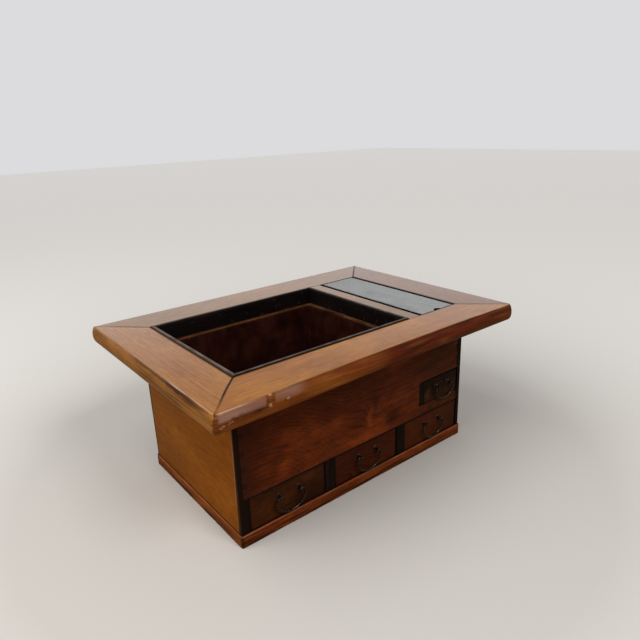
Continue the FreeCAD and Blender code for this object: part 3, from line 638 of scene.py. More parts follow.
# Stiles between the lower drawers, the front edge of the wall beside the upper one, and the strips
# that line the well's long sides. Hardwood stained black and waxed; the stain has gone purple or
# green-brown where hands rub it. Almost no grain shows, only a dull shine.
stile_woods = {
    name: timber(
        "black stained oak, " + name, along,
        early=early, late="#0d0706", glow=glow, rubbed="#4a3a30", grime="#0a0606",
        ring=4.0 * mm, pith=pith, wander=4 * mm, contrast=0.6, roughness=0.45, specular=0.12)
    for name, along, early, glow, pith in (
        ("left stile", "Z", "#170d09", "#22150f", (-0.13, -0.20, 0.0)),
        ("right stile", "Z", "#140e08", "#1d160d", (0.14, -0.21, 0.0)),
        ("wall", "Z", "#130906", "#1c0f0b", (0.20, -0.2, 0.1)),
        ("well", "Y", "#120c0a", "#1a1210", (0.15, 0.0, 0.25)))
}
stile_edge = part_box("stile_left")[0].x
stained(stile_woods["left stile"], "#261418", 0.8, ("X", stile_edge + 10 * mm, stile_edge + 7 * mm))
for node_name, wood in (("stile_left", "left stile"), ("stile_right", "right stile"),
                        ("drawer_wall", "wall"), ("well_lining_left", "well"), ("well_lining_right", "well")):
    eased(node_name, stile_woods[wood], "carcass", 0.6 * mm)


# Inner boards, guides, ledgers, splines and pegs. Bare planed cedar and pine, gone brown with age:
# matt, with fine even rings. They are nailed and housed out of sight and keep their plain shapes.
# Only the lid's ledgers, which show round its notch, are black like the well.
inner_woods = {
    along: timber(
        "aged planed cedar, grain along " + along, along,
        early="#a8814f", late="#7c5730", glow="#b88e5c", rubbed="#c4a070", grime="#4a3220",
        ring=3.5 * mm, pith=pith, lean=(0.01, 0.02), wander=6 * mm, contrast=0.6, roughness=0.7,
        specular=0.3)
    for along, pith in (("X", (0.0, 0.06, -0.05)), ("Y", (0.05, 0.0, -0.03)), ("Z", (0.03, 0.4, 0.0)))
}
inner_grains = {
    "floor_board": "X", "dust_board": "X", "upper_drawer_floor": "Y", "well_floor": "Y", "fire_wall": "Y",
    "drawer_partition_left": "Y", "drawer_partition_right": "Y", "drawer_guides": "Y",
    "liner_ledgers": "X", "lid_ledgers": "Y", "rim_splines": "X", "rim_pegs": "Z",
}
for node_name, along in inner_grains.items():
    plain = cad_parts[node_name]
    plain.data.materials.clear()
    plain.data.materials.append(stile_woods["well"] if node_name == "lid_ledgers" else inner_woods[along])


# Rim. Four wide zelkova boards with a rounded, slightly swelling edge, mitred at the corners, and
# a plain rail between the fire pit and the well. Oiled and rubbed; the front edge is knocked about.
nose_bulge, nose_drop, nose_under, arris = 5.0 * mm, 19.0 * mm, 9.0 * mm, 0.45 * mm
rim_low, rim_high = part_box("rim_front")
rim_half_length, rim_half_depth = -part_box("rim_left")[0].x, -rim_low.y
rim_top, rim_bottom = rim_high.z, rim_low.z
frame_front, frame_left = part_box("collar_front")[0].y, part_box("collar_left")[0].x
nose_middle = rim_top - nose_drop
nose_radius = (nose_bulge ** 2 + nose_drop ** 2) / (2 * nose_bulge)
nose_opening = math.degrees(math.asin(nose_drop / nose_radius))
# The corners' radii in plan: the two at the left are sharp, the two at the right are worn round.
front_left_corner, front_right_corner = 6 * mm, 13 * mm
back_right_corner, back_left_corner = 8 * mm, 2.5 * mm
# How far the nose hangs below the boards at the left, how far the front's arris is worn back along
# its middle, how far all of the nose is on its right half, and how far the corner stands out again.
nose_hang, arris_worn, right_worn, corner_out = 2.2 * mm, 2.3 * mm, 3.0 * mm, 4.2 * mm
mitre_gap, mitre_gape = 0.15 * mm, 0.45 * mm


def rim_section(width, step):
    """Over the flat top from the inner edge out, round the swelling nose, a flat arc above and a
    quarter ellipse below, and back underneath."""
    under = arc((0, 0), 1, 180, 270, 14)[:-1] * (nose_under, nose_middle - rim_bottom)
    return np.concatenate((
        run((width, rim_top), (nose_bulge + arris, rim_top), step),
        [(nose_bulge + arris, rim_top)],
        arc((nose_radius, nose_middle), nose_radius, 180 - nose_opening + 0.7, 180, 12)[:-1],
        under + (nose_under, nose_middle),
        run((nose_under, rim_bottom), (width, rim_bottom), 8 * mm),
        run((width, rim_bottom), (width, rim_top), 8 * mm),
    ))


# Oiled wood with years of polish: honey-coloured and shiny on the flats, where the rings run as
# fine lines, and dull on the rounded edges.
rim_woods = {
    name: timber(
        "oiled and rubbed zelkova, " + name, along,
        early=early, late=late, glow=glow, rubbed="#e6c4a4", grime="#1e0e08", aged=aged,
        bloom="#c29a8a", ring=ring, pith=pith, lean=lean, wander=wander, contrast=contrast,
        roughness=0.34, specular=0.16, streaky=0.20, mottled=0.10, late_start=0.6, pored=0.5)
    for name, along, early, late, glow, aged, ring, pith, lean, wander, contrast in (
        ("front board", "X", "#b06e2a", "#804717", "#c2802c", "#6c2208", 6.0 * mm, (0.1, -0.50, 0.40),
         (0.0, 0.02), 10 * mm, 0.40),
        ("right board", "Y", "#94623a", "#6c4022", "#a06c3e", "#4e1c0a", 6.0 * mm, (0.12, 0.0, 0.22),
         (0.0, 0.01), 8 * mm, 0.50),
        ("back board", "X", "#9e703f", "#744a26", "#a87845", "#4e1c0a", 6.5 * mm, (0.0, 0.55, 0.28),
         (0.0, 0.015), 10 * mm, 0.45),
        ("left board", "Y", "#b47637", "#7f481c", "#bc8040", "#3e1e0b", 5.5 * mm, (-0.06, 0.0, 0.25),
         (0.0, 0.008), 6 * mm, 0.50),
        ("cross rail", "Y", "#9c6e40", "#70482a", "#a67846", "#4e1c0a", 5.0 * mm, (0.02, 0.0, 0.30),
         (0.0, 0.01), 6 * mm, 0.50))
}
# Hands and cloths keep the flat tops polished; the rounded edges have gone dull.
for wood in rim_woods.values():
    tree = wood.node_tree
    polished = beyond(tree, "Z", rim_top - 0.7 * mm, rim_top - 0.4 * mm)
    # No polish where dirt and painted shade lie.
    dirt_and_shade_mark = add(tree, "ShaderNodeAttribute", attribute_name="grime").outputs["Fac"]
    clean = add(tree, "ShaderNodeMath", {0: 1.0, 1: dirt_and_shade_mark}, operation="SUBTRACT").outputs[0]
    polished = add(tree, "ShaderNodeMath", {0: polished, 1: clean}, operation="MULTIPLY").outputs[0]
    polish = tree.nodes["Principled BSDF"]
    tree.links.new(polished, polish.inputs["Coat Weight"])
    polish.inputs["Coat Roughness"].default_value = 0.20
# Knocks on the front board's edge and the corner: x, y, z, reach and depth in mm, and how much pale
# wood shows in them, or below zero how much dirt.
knocks = [
    (-276.5, -263.5, 331.5, 2.4, 0.9, 1.0), (-277.9, -267.5, 315.8, 2.0, 0.8, 1.0),
    (-277.9, -267.5, 312.8, 1.6, 0.8, 0.8), (-245.1, -267.5, 314.9, 1.7, 0.6, 1.0),
    (-242.5, -267.5, 316.2, 1.4, 0.4, 0.7), (-248.5, -267.5, 313.8, 2.0, 0.4, -0.6),
    (-366.5, -267.5, 307.8, 1.5, 0.7, 1.0), (-363.5, -267.5, 308.9, 1.0, 0.5, 0.8),
    (-360.2, -267.2, 308.4, 1.4, 0.6, 1.0), (-357.0, -267.2, 309.8, 0.9, 0.4, 0.6),
    (-353.8, -267.5, 309.8, 1.2, 0.6, 1.0), (-350.0, -267.5, 310.6, 1.1, 0.5, 0.9),
    (-346.0, -267.5, 311.2, 0.9, 0.4, 0.6), (-358.0, -267.5, 305.6, 1.8, 0.3, -0.6),
    (-344.8, -267.9, 316.0, 3.0, 0.5, -0.6), (-330.6, -267.8, 317.5, 4.0, 0.4, -0.4),
    (-338.0, -267.8, 313.0, 3.2, 0.3, -0.6), (-283.5, -266.0, 324.0, 1.8, 0.5, -0.8),
    (-284.0, -267.2, 318.5, 1.8, 0.5, -0.8), (-284.2, -267.8, 312.0, 1.8, 0.4, -0.8),
    (-273.0, -267.2, 322.0, 1.8, 0.4, -0.6), (-200.0, -172.5, 332.0, 2.2, 0.2, -0.6),
    (-377.0, -265.0, 323.0, 2.2, 0.6, -0.45), (-378.0, -265.0, 315.0, 2.0, 0.6, -0.5),
    (-377.0, -264.0, 305.0, 2.6, 0.6, -0.5), (-371.0, -267.0, 303.0, 3.4, 0.4, -0.5),
    (-377.0, -265.5, 332.0, 6.0, 1.3, -0.3), (-374.0, -266.0, 327.5, 2.0, 0.4, 0.5),
    (-376.5, -265.0, 310.0, 1.6, 0.4, 0.4), (-372.0, -267.0, 321.0, 2.0, 0.4, -0.5),
]


def between(value, start, end):
    """0 before the start, 1 past the end, and a smooth rise from one to the other."""
    share = np.clip((value - start) / (end - start), 0, 1)
    return share * share * (3 - 2 * share)


def stretch(value, start, full, fading, end):
    """1 from one place to another with soft ends: a smooth rise before it and a smooth fall after."""
    return between(value, start, full) * between(value, end, fading)


def rim_board(side, turns, width, slope, half_length, half_depth, corners, step, dents):
    """One mitred board from the section carried between the two mitres: its nose waved by a
    fraction of a millimetre and dented, its arris rubbed pale and painted with a highlight, shade
    painted along its inner edge, its finish worn by place."""
    seed = 41 + turns
    scale = min(1.0, 1 / slope)
    bar = mitred_bar(rim_section(width, step), half_length, half_depth, slope,
                     (corners[0] * scale, corners[1] * scale), step * 1.1, mitre_gap, mitre_gape)
    normal = outward(bar)
    inward = bar[..., 1] + half_depth
    to_mitre = half_length - np.abs(bar[..., 0]) - inward * slope
    on_top = (bar[..., 2] > rim_top - 0.1 * mm) & (inward > nose_bulge)
    nose = np.clip((22 * mm - inward) / (10 * mm), 0, 1)
    rounded = nose * (~on_top)
    world = quarter_turns(bar, turns)
    x, y, z = world[..., 0], world[..., 1], world[..., 2]
    sunk = varied(bar, 260 * mm, seed) * 0.15 * mm * nose
    sunk += varied(bar, 160 * mm, seed + 1) * 0.12 * mm * on_top

    # Pale wood and a painted highlight show along the arris, most at the front's left end and on the
    # left board, but not at the very corner between them.
    bare_and_highlit = bell(np.hypot(inward - nose_bulge, bar[..., 2] - rim_top), 0.65 * mm)
    bare_and_highlit *= varied(bar, 60 * mm, seed + 2, 0.75, 0.4)
    bare_and_highlit *= {"front": 0.95 * between(x, -0.31, -0.335) + 0.03, "right": 0.2, "back": 0.2,
             "left": 0.85 * between(y, -0.06, -0.14) + 0.12}[side]
    bare_and_highlit *= between(np.abs(x + 0.3755) + np.abs(y + 0.2640), 4 * mm, 8 * mm)

    # Painted shade lies against the collar and the well, and dirt in the mitres, most at their inner ends.
    by_well = 1.2 * mm + 1.4 * mm * between(x, 0.165, 0.18)
    inner_shade = {"front": by_well, "right": 3.5 * mm, "back": by_well, "left": 2.4 * mm}[side]
    dirt_and_shade = np.clip((inner_shade - (width - inward)) / (0.8 * mm), 0, 1) * 0.95
    mitre_dirt = np.maximum(0.35 + 0.65 * between(inward, 0.15 * width, 0.55 * width),
                            0.85 * between(x, 0.10, 0.20))
    dirt_and_shade = np.maximum(dirt_and_shade, np.clip(2.1 - to_mitre / (1.7 * mm), 0, 1) * mitre_dirt * on_top)
    if side == "front":
        # On the front the board is also darker in a line under the arris, in a broken band below the milky
        # stretch at the left end, and all over the nose's right half.
        under_arris = bell(rim_top - 0.9 * mm - z, 1.5 * mm) * (inward < nose_bulge + 1.4 * mm)
        under_arris *= (0.55 + 0.25 * between(x, -0.10, 0.10)) * between(x, -0.33, -0.26)
        under_arris *= varied(bar, 60 * mm, seed + 7, 0.80, 0.35)
        band = np.maximum(bell(z - 0.3125, 3.6 * mm) * stretch(x, -0.330, -0.322, -0.286, -0.282),
                          bell(z - 0.3130, 2.2 * mm) * stretch(x, -0.350, -0.342, -0.330, -0.322))
        band *= varied(bar * (0.6, 1, 1), 12 * mm, seed + 9, 0.55, 0.35, 0.85)
        right_half_dark = rounded * between(x, -0.09, 0.05)
        right_half_dark *= varied(bar * (0.12, 2, 2), 14 * mm, seed + 10, 0.38, 0.35, 0.75)
        dirt_and_shade = np.maximum.reduce((dirt_and_shade, under_arris, band, right_half_dark))

    # Twenty-six small dents anywhere on the board, and the knocks that it shares with its neighbour.
    dice = np.random.default_rng(seed)
    small = [(*quarter_turns(np.array((dice.uniform(-half_length, half_length),
                                       -half_depth + dice.uniform(0, width), rim_top)), turns),
              dice.uniform(1.4, 3.5) * mm, dice.uniform(0.05, 0.18) * mm, 0.15 * dice.uniform(-1, 0.4))
             for _ in range(26)]
    large = [(*np.array(measures) * mm, bare) for *measures, bare in dents]
    for *centre, reach, depth, bare in small + large:
        dent = np.exp(-(((world - centre) * (0.6, 1.0, 1.1)) ** 2).sum(-1) / reach ** 2)
        sunk += dent * depth
        bare_and_highlit = np.maximum(bare_and_highlit, np.clip(dent * 1.6 - 0.5, 0, 1) * bare)
        dirt_and_shade = np.maximum(dirt_and_shade, np.clip(dent * 1.5 - 0.3, 0, 1) * -bare)

    # The old finish is left in the nose: everywhere on the front, most on its right half, in streaks
    # that run out below the arris of the left board, and evenly at the right and back. Two stretches
    # of the front's left end are milky: partly a bloom of old lacquer, partly a painted sheen.
    patchy = ripple(bar * (1, 2, 2), 90 * mm, seed + 3)
    streaks = ripple(bar * (0.12, 2, 2), 14 * mm, seed + 8)
    milky_and_sheen, set_back, hang = 0 * x, 0, 0
    if side == "front":
        kept = np.clip(0.60 + 0.34 * between(x, -0.15, 0.03) + 0.10 * patchy + 0.18 * streaks, 0, 0.97)
        kept *= 1 - 0.55 * np.exp(-((x - 0.142) / 0.013) ** 2 - ((z - 0.3085) / 0.005) ** 2)
        milky_and_sheen = stretch(x, -0.374, -0.366, -0.287, -0.283) * (0.46 + 0.40 * between(x, -0.30, -0.36))
        milky_and_sheen = between(z, 0.313, 0.320) * (milky_and_sheen + 0.42 * stretch(x, -0.270, -0.266, -0.235, -0.195))
        milky_and_sheen *= np.clip(0.85 + 0.30 * streaks + 0.15 * patchy, 0, 1) * rounded
        set_back = arris_worn * between(half_length - np.abs(bar[..., 0]), 0.02, 0.20)
        hang = nose_hang * between(x, -0.10, -0.30)
    elif side == "left":
        run_out = rim_top - (5.5 * mm + 2.2 * mm * ripple(bar * (1, 0, 0), 90 * mm, seed + 4)
                             + 0.8 * mm * ripple(bar * (1, 0, 0), 20 * mm, seed + 5))
        kept = between(z, run_out - 2.5 * mm, run_out + 1.5 * mm) * stretch(y, -0.262, -0.235, -0.02, 0.10)
        kept *= np.clip(0.90 + 0.3 * patchy, 0, 0.96)
        thin = np.clip(0.16 + 0.22 * streaks + 0.15 * patchy, 0, 0.5)
        kept = np.maximum(kept, thin * (1 + 1.1 * stretch(y, -0.22, -0.17, -0.05, 0.05)))
        hang = nose_hang
    else:
        kept = np.clip(0.6 + 0.3 * patchy, 0, 1)

    upper = np.clip((bar[..., 2] - nose_middle) / nose_drop, 0, 1)
    near_edge = np.clip(1 - (inward - nose_bulge) / (60 * mm), 0, 1)
    bar = bar - normal * sunk[..., None]
    bar[..., 1] += set_back * near_edge * upper
    lip = np.clip(1 - (inward - nose_under) / (8 * mm), 0, 1) * between(bar[..., 2], nose_middle, rim_bottom)
    bar[..., 2] -= hang * lip
    world = quarter_turns(bar, turns)
    world[..., 1] += right_worn * between(x, -0.20, 0.05) * between(y, -0.200, -0.255)
    # At the front left corner the arris stands almost plumb over the nose.
    plumb = between(x, -0.15, -0.34) * between(y, -0.200, -0.262) * between(z, nose_middle, rim_top)
    world[..., 1] = np.maximum(world[..., 1] - corner_out * plumb, -rim_half_depth)
    surface("rim_board_" + side, [capped(world)], rim_woods[side + " board"], "carcass",
            ["rim_" + side], capped_marks(rubbed=bare_and_highlit, grime=dirt_and_shade, aged=kept * rounded, bloom=milky_and_sheen))


rim_side_width, rim_end_width = rim_half_depth + frame_front, rim_half_length + frame_left
side_slope = rim_end_width / rim_side_width
rim_ways = {
    "front": ((front_left_corner, front_right_corner), 2.2 * mm, knocks),
    "right": ((front_right_corner, back_right_corner), 2.6 * mm, ()),
    "back": ((back_right_corner, back_left_corner), 2.8 * mm, ()),
    "left": ((back_left_corner, front_left_corner), 2.2 * mm, knocks),
}
for turns, side, along, half_length, half_depth in frame_sides(rim_half_length, rim_half_depth):
    width, slope = (rim_side_width, side_slope) if along == "X" else (rim_end_width, 1 / side_slope)
    rim_board(side, turns, width, slope, half_length, half_depth, *rim_ways[side])

rail_low, rail_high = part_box("rim_cross_rail")
rail_half_length = -frame_front - mitre_gap
rail_rows, rail_gap, rail_wear = 120, 0.1 * mm, 0.15 * mm
rail_left, rail_right = rail_low.x + rail_gap, rail_high.x - rail_gap
rail_section = np.concatenate((
    run((rail_right, rail_high.z - arris), (rail_right - arris, rail_high.z), arris),
    run((rail_right - arris, rail_high.z), (rail_left + arris, rail_high.z), 3 * mm),
    run((rail_left + arris, rail_high.z), (rail_left, rail_high.z - arris), arris),
    run((rail_left, rail_high.z - arris), (rail_left, rail_low.z), 8 * mm),
    run((rail_left, rail_low.z), (rail_right, rail_low.z), 8 * mm),
    run((rail_right, rail_low.z), (rail_right, rail_high.z - arris), 8 * mm),
))
rail_y = np.linspace(rail_half_length, -rail_half_length, rail_rows)[:, None]
rail = np.stack(np.broadcast_arrays(rail_section[:, 0], rail_y, rail_section[:, 1]), -1)
rail_worn = varied(rail, 60 * mm, 51) * rail_wear * (rail[..., 2] > rail_high.z - 1 * mm)
rail = rail - np.array((0, 0, 1.0)) * rail_worn[..., None]
surface("rim_rail", [capped(rail)], rim_woods["cross rail"], "carcass", ["rim_cross_rail"])


# Collar of the fire pit. Thin boards of hardwood stained black, with a rounded bead that stands
# just above the rim; rubbed pale along the bead, where a highlight is painted too, scuffed and
# sooty inside.
collar_low, collar_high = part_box("collar_front")
collar_thickness = collar_high.y - collar_low.y
bead_radius = 3.5 * mm
bead_wear = 0.25 * mm
collar_shoulder = collar_high.z - bead_radius
collar_middle = (collar_low.x + collar_high.x) / 2
collar_half_length, collar_half_depth = (collar_high.x - collar_low.x) / 2, -collar_low.y
collar_section = np.concatenate((
    arc((collar_thickness - bead_radius, collar_shoulder), bead_radius, 0, 90, 9),
    arc((bead_radius, collar_shoulder), bead_radius, 90, 180, 9),
    run((0, collar_shoulder), (0, collar_low.z), 4 * mm)[1:],
    run((0, collar_low.z), (collar_thickness, collar_low.z), 3 * mm),
    run((collar_thickness, collar_low.z), (collar_thickness, collar_shoulder), 4 * mm),
))
# Black stain with a dull shine, brown where it has thinned; the bead is rubbed to grey-brown wood,
# with a painted highlight on its crown.
collar_woods = {
    along: timber(
        "black stained hardwood collar, grain along " + along, along,
        early="#150e0c", late="#0c0807", glow="#1c1310", rubbed="#968474", grime="#0a0707", aged="#3c2212",
        ring=2.5 * mm, pith=pith, wander=3 * mm, contrast=0.6, roughness=0.42, specular=0.12)
    for along, pith in (("X", (0.0, -0.10, 0.30)), ("Y", (-0.20, 0.0, 0.29)))
}
# How far across the bead its rubbed and painted-highlit crown lies, and how wide it is.
crowns = {"front": (0.40, 1.4 * mm), "right": (0.55, 1.6 * mm), "back": (0.55, 1.6 * mm),
          "left": (0.52, 2.9 * mm)}
for turns, side, along, half_length, half_depth in frame_sides(collar_half_length, collar_half_depth):
    bar = mitred_bar(collar_section, half_length, half_depth, 1.0, (0.0, 0.0), 3.0 * mm, 0.03 * mm)
    inward = bar[..., 1] + half_depth
    crown, crown_width = crowns[side]
    # The crown: partly rubbed wood, partly a painted highlight.
    worn = np.clip((bar[..., 2] - collar_high.z + 0.9 * mm) / (0.7 * mm), 0, 1)
    worn *= bell(inward - crown * collar_thickness, crown_width)
    rubbed = worn * np.clip(0.70 + 0.30 * ripple(bar, 40 * mm, 61 + turns)
                            + 0.3 * ripple(bar * (1, 12, 1), 24 * mm, 65 + turns), 0, 0.95)
    scuffs = varied(bar, 9 * mm, 71 + turns, -1.6, 1.6, 0.12) * (inward > collar_thickness - 0.1 * mm)
    browned = np.clip(1 - inward / (0.36 * collar_thickness), 0, 1) ** 0.5
    browned *= 0.9 if side == "left" else 0.25
    worn_down = varied(bar, 45 * mm, 75 + turns) * bead_wear * worn
    bar = capped(bar - outward(bar) * worn_down[..., None])
    placed = quarter_turns(bar, turns) + np.array((collar_middle, 0, 0))
    surface("collar_bar_" + side, [placed], collar_woods[along], "carcass",
            ["collar_" + side], capped_marks(rubbed=np.maximum(rubbed, scuffs), aged=browned))


# Fire pan. Copper sheet folded to a box with soldered corners and a narrow flange that hangs on
# ledgers; brown with heat and years, brighter on the flange, partly rubbed and partly a painted
# highlight, sooty towards the floor.
pan_low, pan_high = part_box("copper_liner")
flange_width, sheet, pan_corner, pan_foot, pan_lip = 6.0 * mm, 1.5 * mm, 5.0 * mm, 7.0 * mm, 2.0 * mm
pan_middle = (pan_low + pan_high) / 2
pan_half_x, pan_half_y = (pan_high.x - pan_low.x) / 2, (pan_high.y - pan_low.y) / 2
wall_inset = flange_width + sheet
pan_profile = np.concatenate((
    arc((flange_width + pan_foot, pan_low.z + pan_foot), pan_foot, 270, 180, 7),
    run((flange_width, pan_low.z + pan_foot), (flange_width, pan_high.z - sheet), 8 * mm)[1:],
    [(flange_width, pan_high.z - sheet)],
    arc((sheet / 2, pan_high.z - sheet / 2), sheet / 2, 270, 90, 7),
    arc((wall_inset - pan_lip, pan_high.z - pan_lip), pan_lip, 90, 0, 5),
    run((wall_inset, pan_high.z - pan_lip), (wall_inset, pan_low.z + sheet + pan_foot), 5 * mm)[1:],
    arc((wall_inset + pan_foot, pan_low.z + sheet + pan_foot), pan_foot, 180, 270, 7),
))


def pan_ring(inset, height, corner_steps=6, side_steps=34):
    """A level ring of the pan: quarter circles about four corner centres, joined by straight runs."""
    radius = max(pan_corner + flange_width - inset, 1.0 * mm)
    reach_x, reach_y = pan_half_x - inset - radius, pan_half_y - inset - radius
    turns = np.radians(np.linspace(0, 90, corner_steps)[None] + np.arange(0, 360, 90)[:, None])
    centre_x = np.array((1, -1, -1, 1))[:, None] * reach_x
    centre_y = np.array((1, 1, -1, -1))[:, None] * reach_y
    x = (centre_x + radius * np.cos(turns)).ravel()
    y = (centre_y + radius * np.sin(turns)).ravel()
    within = np.concatenate((np.arange(corner_steps - 1),
                             np.linspace(corner_steps - 1, corner_steps, side_steps, endpoint=False)))
    places = (within[None] + corner_steps * np.arange(4)[:, None]).ravel()
    index = np.arange(4 * corner_steps + 1)
    ring_x = np.interp(places, index, np.append(x, x[0]))
    ring_y = np.interp(places, index, np.append(y, y[0]))
    return np.stack((pan_middle.x + ring_x, pan_middle.y + ring_y, np.full(len(places), height)), -1)


pan = np.stack([pan_ring(inset, height) for inset, height in pan_profile])
floor_shares = np.linspace(1, 0, 24)[1:-1, None, None]
floor_middle = np.array((pan_middle.x, pan_middle.y, pan_profile[-1][1]))
pan = np.concatenate((pan, floor_middle + (pan[-1] - floor_middle) * floor_shares))
# The floor has buckled up in places; the outside, which comes first, has not.
buckle_rise, buckle_depth = 0.35 * mm, 165 * mm
pan_depth = pan_high.z - pan[..., 2]
inside = np.arange(len(pan))[:, None] > len(pan_profile) // 2
buckle = np.maximum(ripple(pan, 130 * mm, 81), 0) * buckle_rise * (pan_depth > buckle_depth) * inside
pan = capped(pan + np.array((0, 0, 1.0)) * buckle[..., None])
pan_depth = pan_high.z - pan[..., 2]
# A bright line along the flange's top: partly rubbed copper, partly a painted highlight.
lit_and_rubbed_lip = np.clip(1 - pan_depth / (2.5 * mm), 0, 1) * varied(pan, 35 * mm, 82, 0.6, 0.5)
soot = np.clip((pan_depth - 90 * mm) / (80 * mm), 0, 1)
# Copper that heat has browned: a dull metal shine, blotched and streaked downwards with tarnish,
# orange along the flange, partly rubbed and partly a painted highlight, black with soot below.
copper = bpy.data.materials.new("sheet copper, browned by heat")
copper.use_nodes = True
tree = copper.node_tree
shader = tree.nodes["Principled BSDF"]
place = add(tree, "ShaderNodeTexCoord").outputs["Object"]
tall = add(tree, "ShaderNodeVectorMath", {0: place, 1: (60.0, 60.0, 9.0)}, operation="MULTIPLY").outputs[0]
runs = add(tree, "ShaderNodeTexNoise", {"Vector": tall, "Scale": 1.0, "Detail": 4.0}).outputs[0]
patches = add(tree, "ShaderNodeTexNoise", {"Vector": place, "Scale": 22.0, "Detail": 6.0, "Roughness": 0.65})
tarnish = add(tree, "ShaderNodeValToRGB", {"Fac": patches.outputs[0]}, stops=[
    (share, linear(tint)) for share, tint in (
        (0.30, "#3e1a12"), (0.48, "#4e2217"), (0.60, "#5e2c1d"), (0.75, "#451e14"))])
streaks = add(tree, "ShaderNodeMapRange", {0: runs, 1: 0.50, 2: 0.72, 3: 0.0, 4: 0.6}).outputs[0]
colour = add(tree, "ShaderNodeMix", {0: streaks, 6: tarnish.outputs["Color"], 7: linear("#2a130d")},
             data_type="RGBA").outputs[2]
lip = add(tree, "ShaderNodeAttribute", attribute_name="rubbed").outputs["Fac"]
colour = add(tree, "ShaderNodeMix", {0: lip, 6: colour, 7: linear("#96653c")}, data_type="RGBA").outputs[2]
black = add(tree, "ShaderNodeAttribute", attribute_name="grime").outputs["Fac"]
sooty = add(tree, "ShaderNodeMath", {0: black, 1: patches.outputs[0]}, operation="MULTIPLY").outputs[0]
colour = add(tree, "ShaderNodeMix", {0: sooty, 6: colour, 7: linear("#120a08")}, data_type="RGBA").outputs[2]
tree.links.new(colour, shader.inputs["Base Color"])
shader.inputs["Metallic"].default_value = 0.75
rough = add(tree, "ShaderNodeMapRange", {0: patches.outputs[0], 1: 0.3, 2: 0.7, 3: 0.38, 4: 0.62}).outputs[0]
tree.links.new(rough, shader.inputs["Roughness"])
bump = add(tree, "ShaderNodeBump", {"Height": patches.outputs[0], "Distance": 0.5 * mm, "Strength": 0.5})
tree.links.new(bump.outputs[0], shader.inputs["Normal"])
surface("fire_pan", [pan], copper, "liner", ["copper_liner"],
        {"rubbed": lit_and_rubbed_lip, "grime": soot})


# Lid of the well. One flat board under grey lacquer, loose in its opening, with a round notch in
# its front end for a finger.

# The lacquer is rubbed satin and clouded by cups and cloths: soft reflections and faint wipe marks.
lid_lacquer = bpy.data.materials.new("grey lacquered board, worn satin")
lid_lacquer.use_nodes = True
tree = lid_lacquer.node_tree
shader = tree.nodes["Principled BSDF"]
place = add(tree, "ShaderNodeTexCoord").outputs["Object"]
cloudy = drawn_out(tree, place, 30 * mm, 70 * mm, 5.0, 0.65).outputs[0]
wiped = drawn_out(tree, place, 3 * mm, 45 * mm, 3.0).outputs[0]
fine = add(tree, "ShaderNodeTexNoise", {"Vector": place, "Scale": 1 / (5 * mm), "Detail": 3.0}).outputs[0]
grey = add(tree, "ShaderNodeValToRGB", {"Fac": cloudy}, stops=[
    (share, linear(tint)) for share, tint in (
        (0.25, "#7c7e7d"), (0.42, "#909190"), (0.58, "#9c9d9c"), (0.75, "#908f8e"))])
speck = add(tree, "ShaderNodeMapRange", {0: fine, 1: 0.3, 2: 0.7, 3: 0.86, 4: 1.14}).outputs[0]
wipe = add(tree, "ShaderNodeMapRange", {0: wiped, 1: 0.3, 2: 0.7, 3: 0.92, 4: 1.08}).outputs[0]
speck = add(tree, "ShaderNodeMath", {0: speck, 1: wipe}, operation="MULTIPLY").outputs[0]
colour = add(tree, "ShaderNodeVectorMath", {0: grey.outputs["Color"], "Scale": speck}, operation="SCALE")
tree.links.new(colour.outputs[0], shader.inputs["Base Color"])
rough = add(tree, "ShaderNodeMapRange", {0: cloudy, 1: 0.3, 2: 0.7, 3: 0.27, 4: 0.32}).outputs[0]
tree.links.new(rough, shader.inputs["Roughness"])
bump = add(tree, "ShaderNodeBump", {"Height": fine, "Distance": 0.04 * mm, "Strength": 0.5})
tree.links.new(bump.outputs[0], shader.inputs["Normal"])
lid_low, lid_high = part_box("well_lid")
# Hands have darkened its front edge, and it is a shade darker towards the back.
stained(lid_lacquer, "#4c4a48", 0.7, ("Y", lid_low.y + 4 * mm, lid_low.y + 1 * mm))
stained(lid_lacquer, "#70706d", 0.26, ("Y", 0.060, lid_high.y))
# The lid's side faces are near-black: painted shade of the narrow gaps round it.
lid_edge_shade = timber(
    "lid's edges, painted black as the shade of its gaps", "Y",
    early="#100d0c", late="#0b0909", glow="#171312", rubbed="#4a4540", grime="#0a0808",
    ring=4.0 * mm, pith=(0.2, 0.0, 0.25), wander=5 * mm, contrast=0.5, roughness=0.6, specular=0.1)
lid = eased("well_lid", lid_lacquer, "lid", 0.6 * mm, lid_edge_shade)
for side_face in [face for face in lid.data.polygons if abs(face.normal.z) < 0.5]:
    side_face.material_index = 1
# Normals weighted by the faces' sizes keep the notch from bending the flat top's shine.
lid.modifiers["eased"].harden_normals = False
lid.modifiers.new("flat", "WEIGHTED_NORMAL")


# Drawers. Each has a thick zelkova front, its own cut of the log, blackened on the upper one by
# the hearth's smoke, rebated for thin cedar sides and a base nailed on from below.

# The fronts are dark red-brown with broad rings, satin where hands reach. For each: its colours,
# pith, lean and roughness, and glows as x, z, size and amount.
drawer_fronts = {
    "left": ("#38180a", "#1c0b05", "#54290f", (-0.17, -0.172, 0.094), (0.0, 0.16), 0.42,
             ((-0.151, 0.080, 0.016, 0.8), (-0.140, 0.083, 0.012, 0.7), (-0.240, 0.060, 0.030, 0.2))),
    "middle": ("#4e1e0e", "#220c06", "#54210e", (0.02, -0.150, 0.030), (0.0, 0.12), 0.42, ()),
    "right": ("#4a1e0d", "#240d05", "#542610", (0.25, -0.190, 0.120), (0.0, 0.10), 0.42,
              ((0.150, 0.060, 0.030, 0.4),)),
    "upper": ("#20100c", "#120806", "#472a1a", (0.18, -0.160, 0.110), (0.0, 0.10), 0.50,
              ((0.193, 0.140, 0.018, 0.9), (0.199, 0.152, 0.012, 0.6))),
}
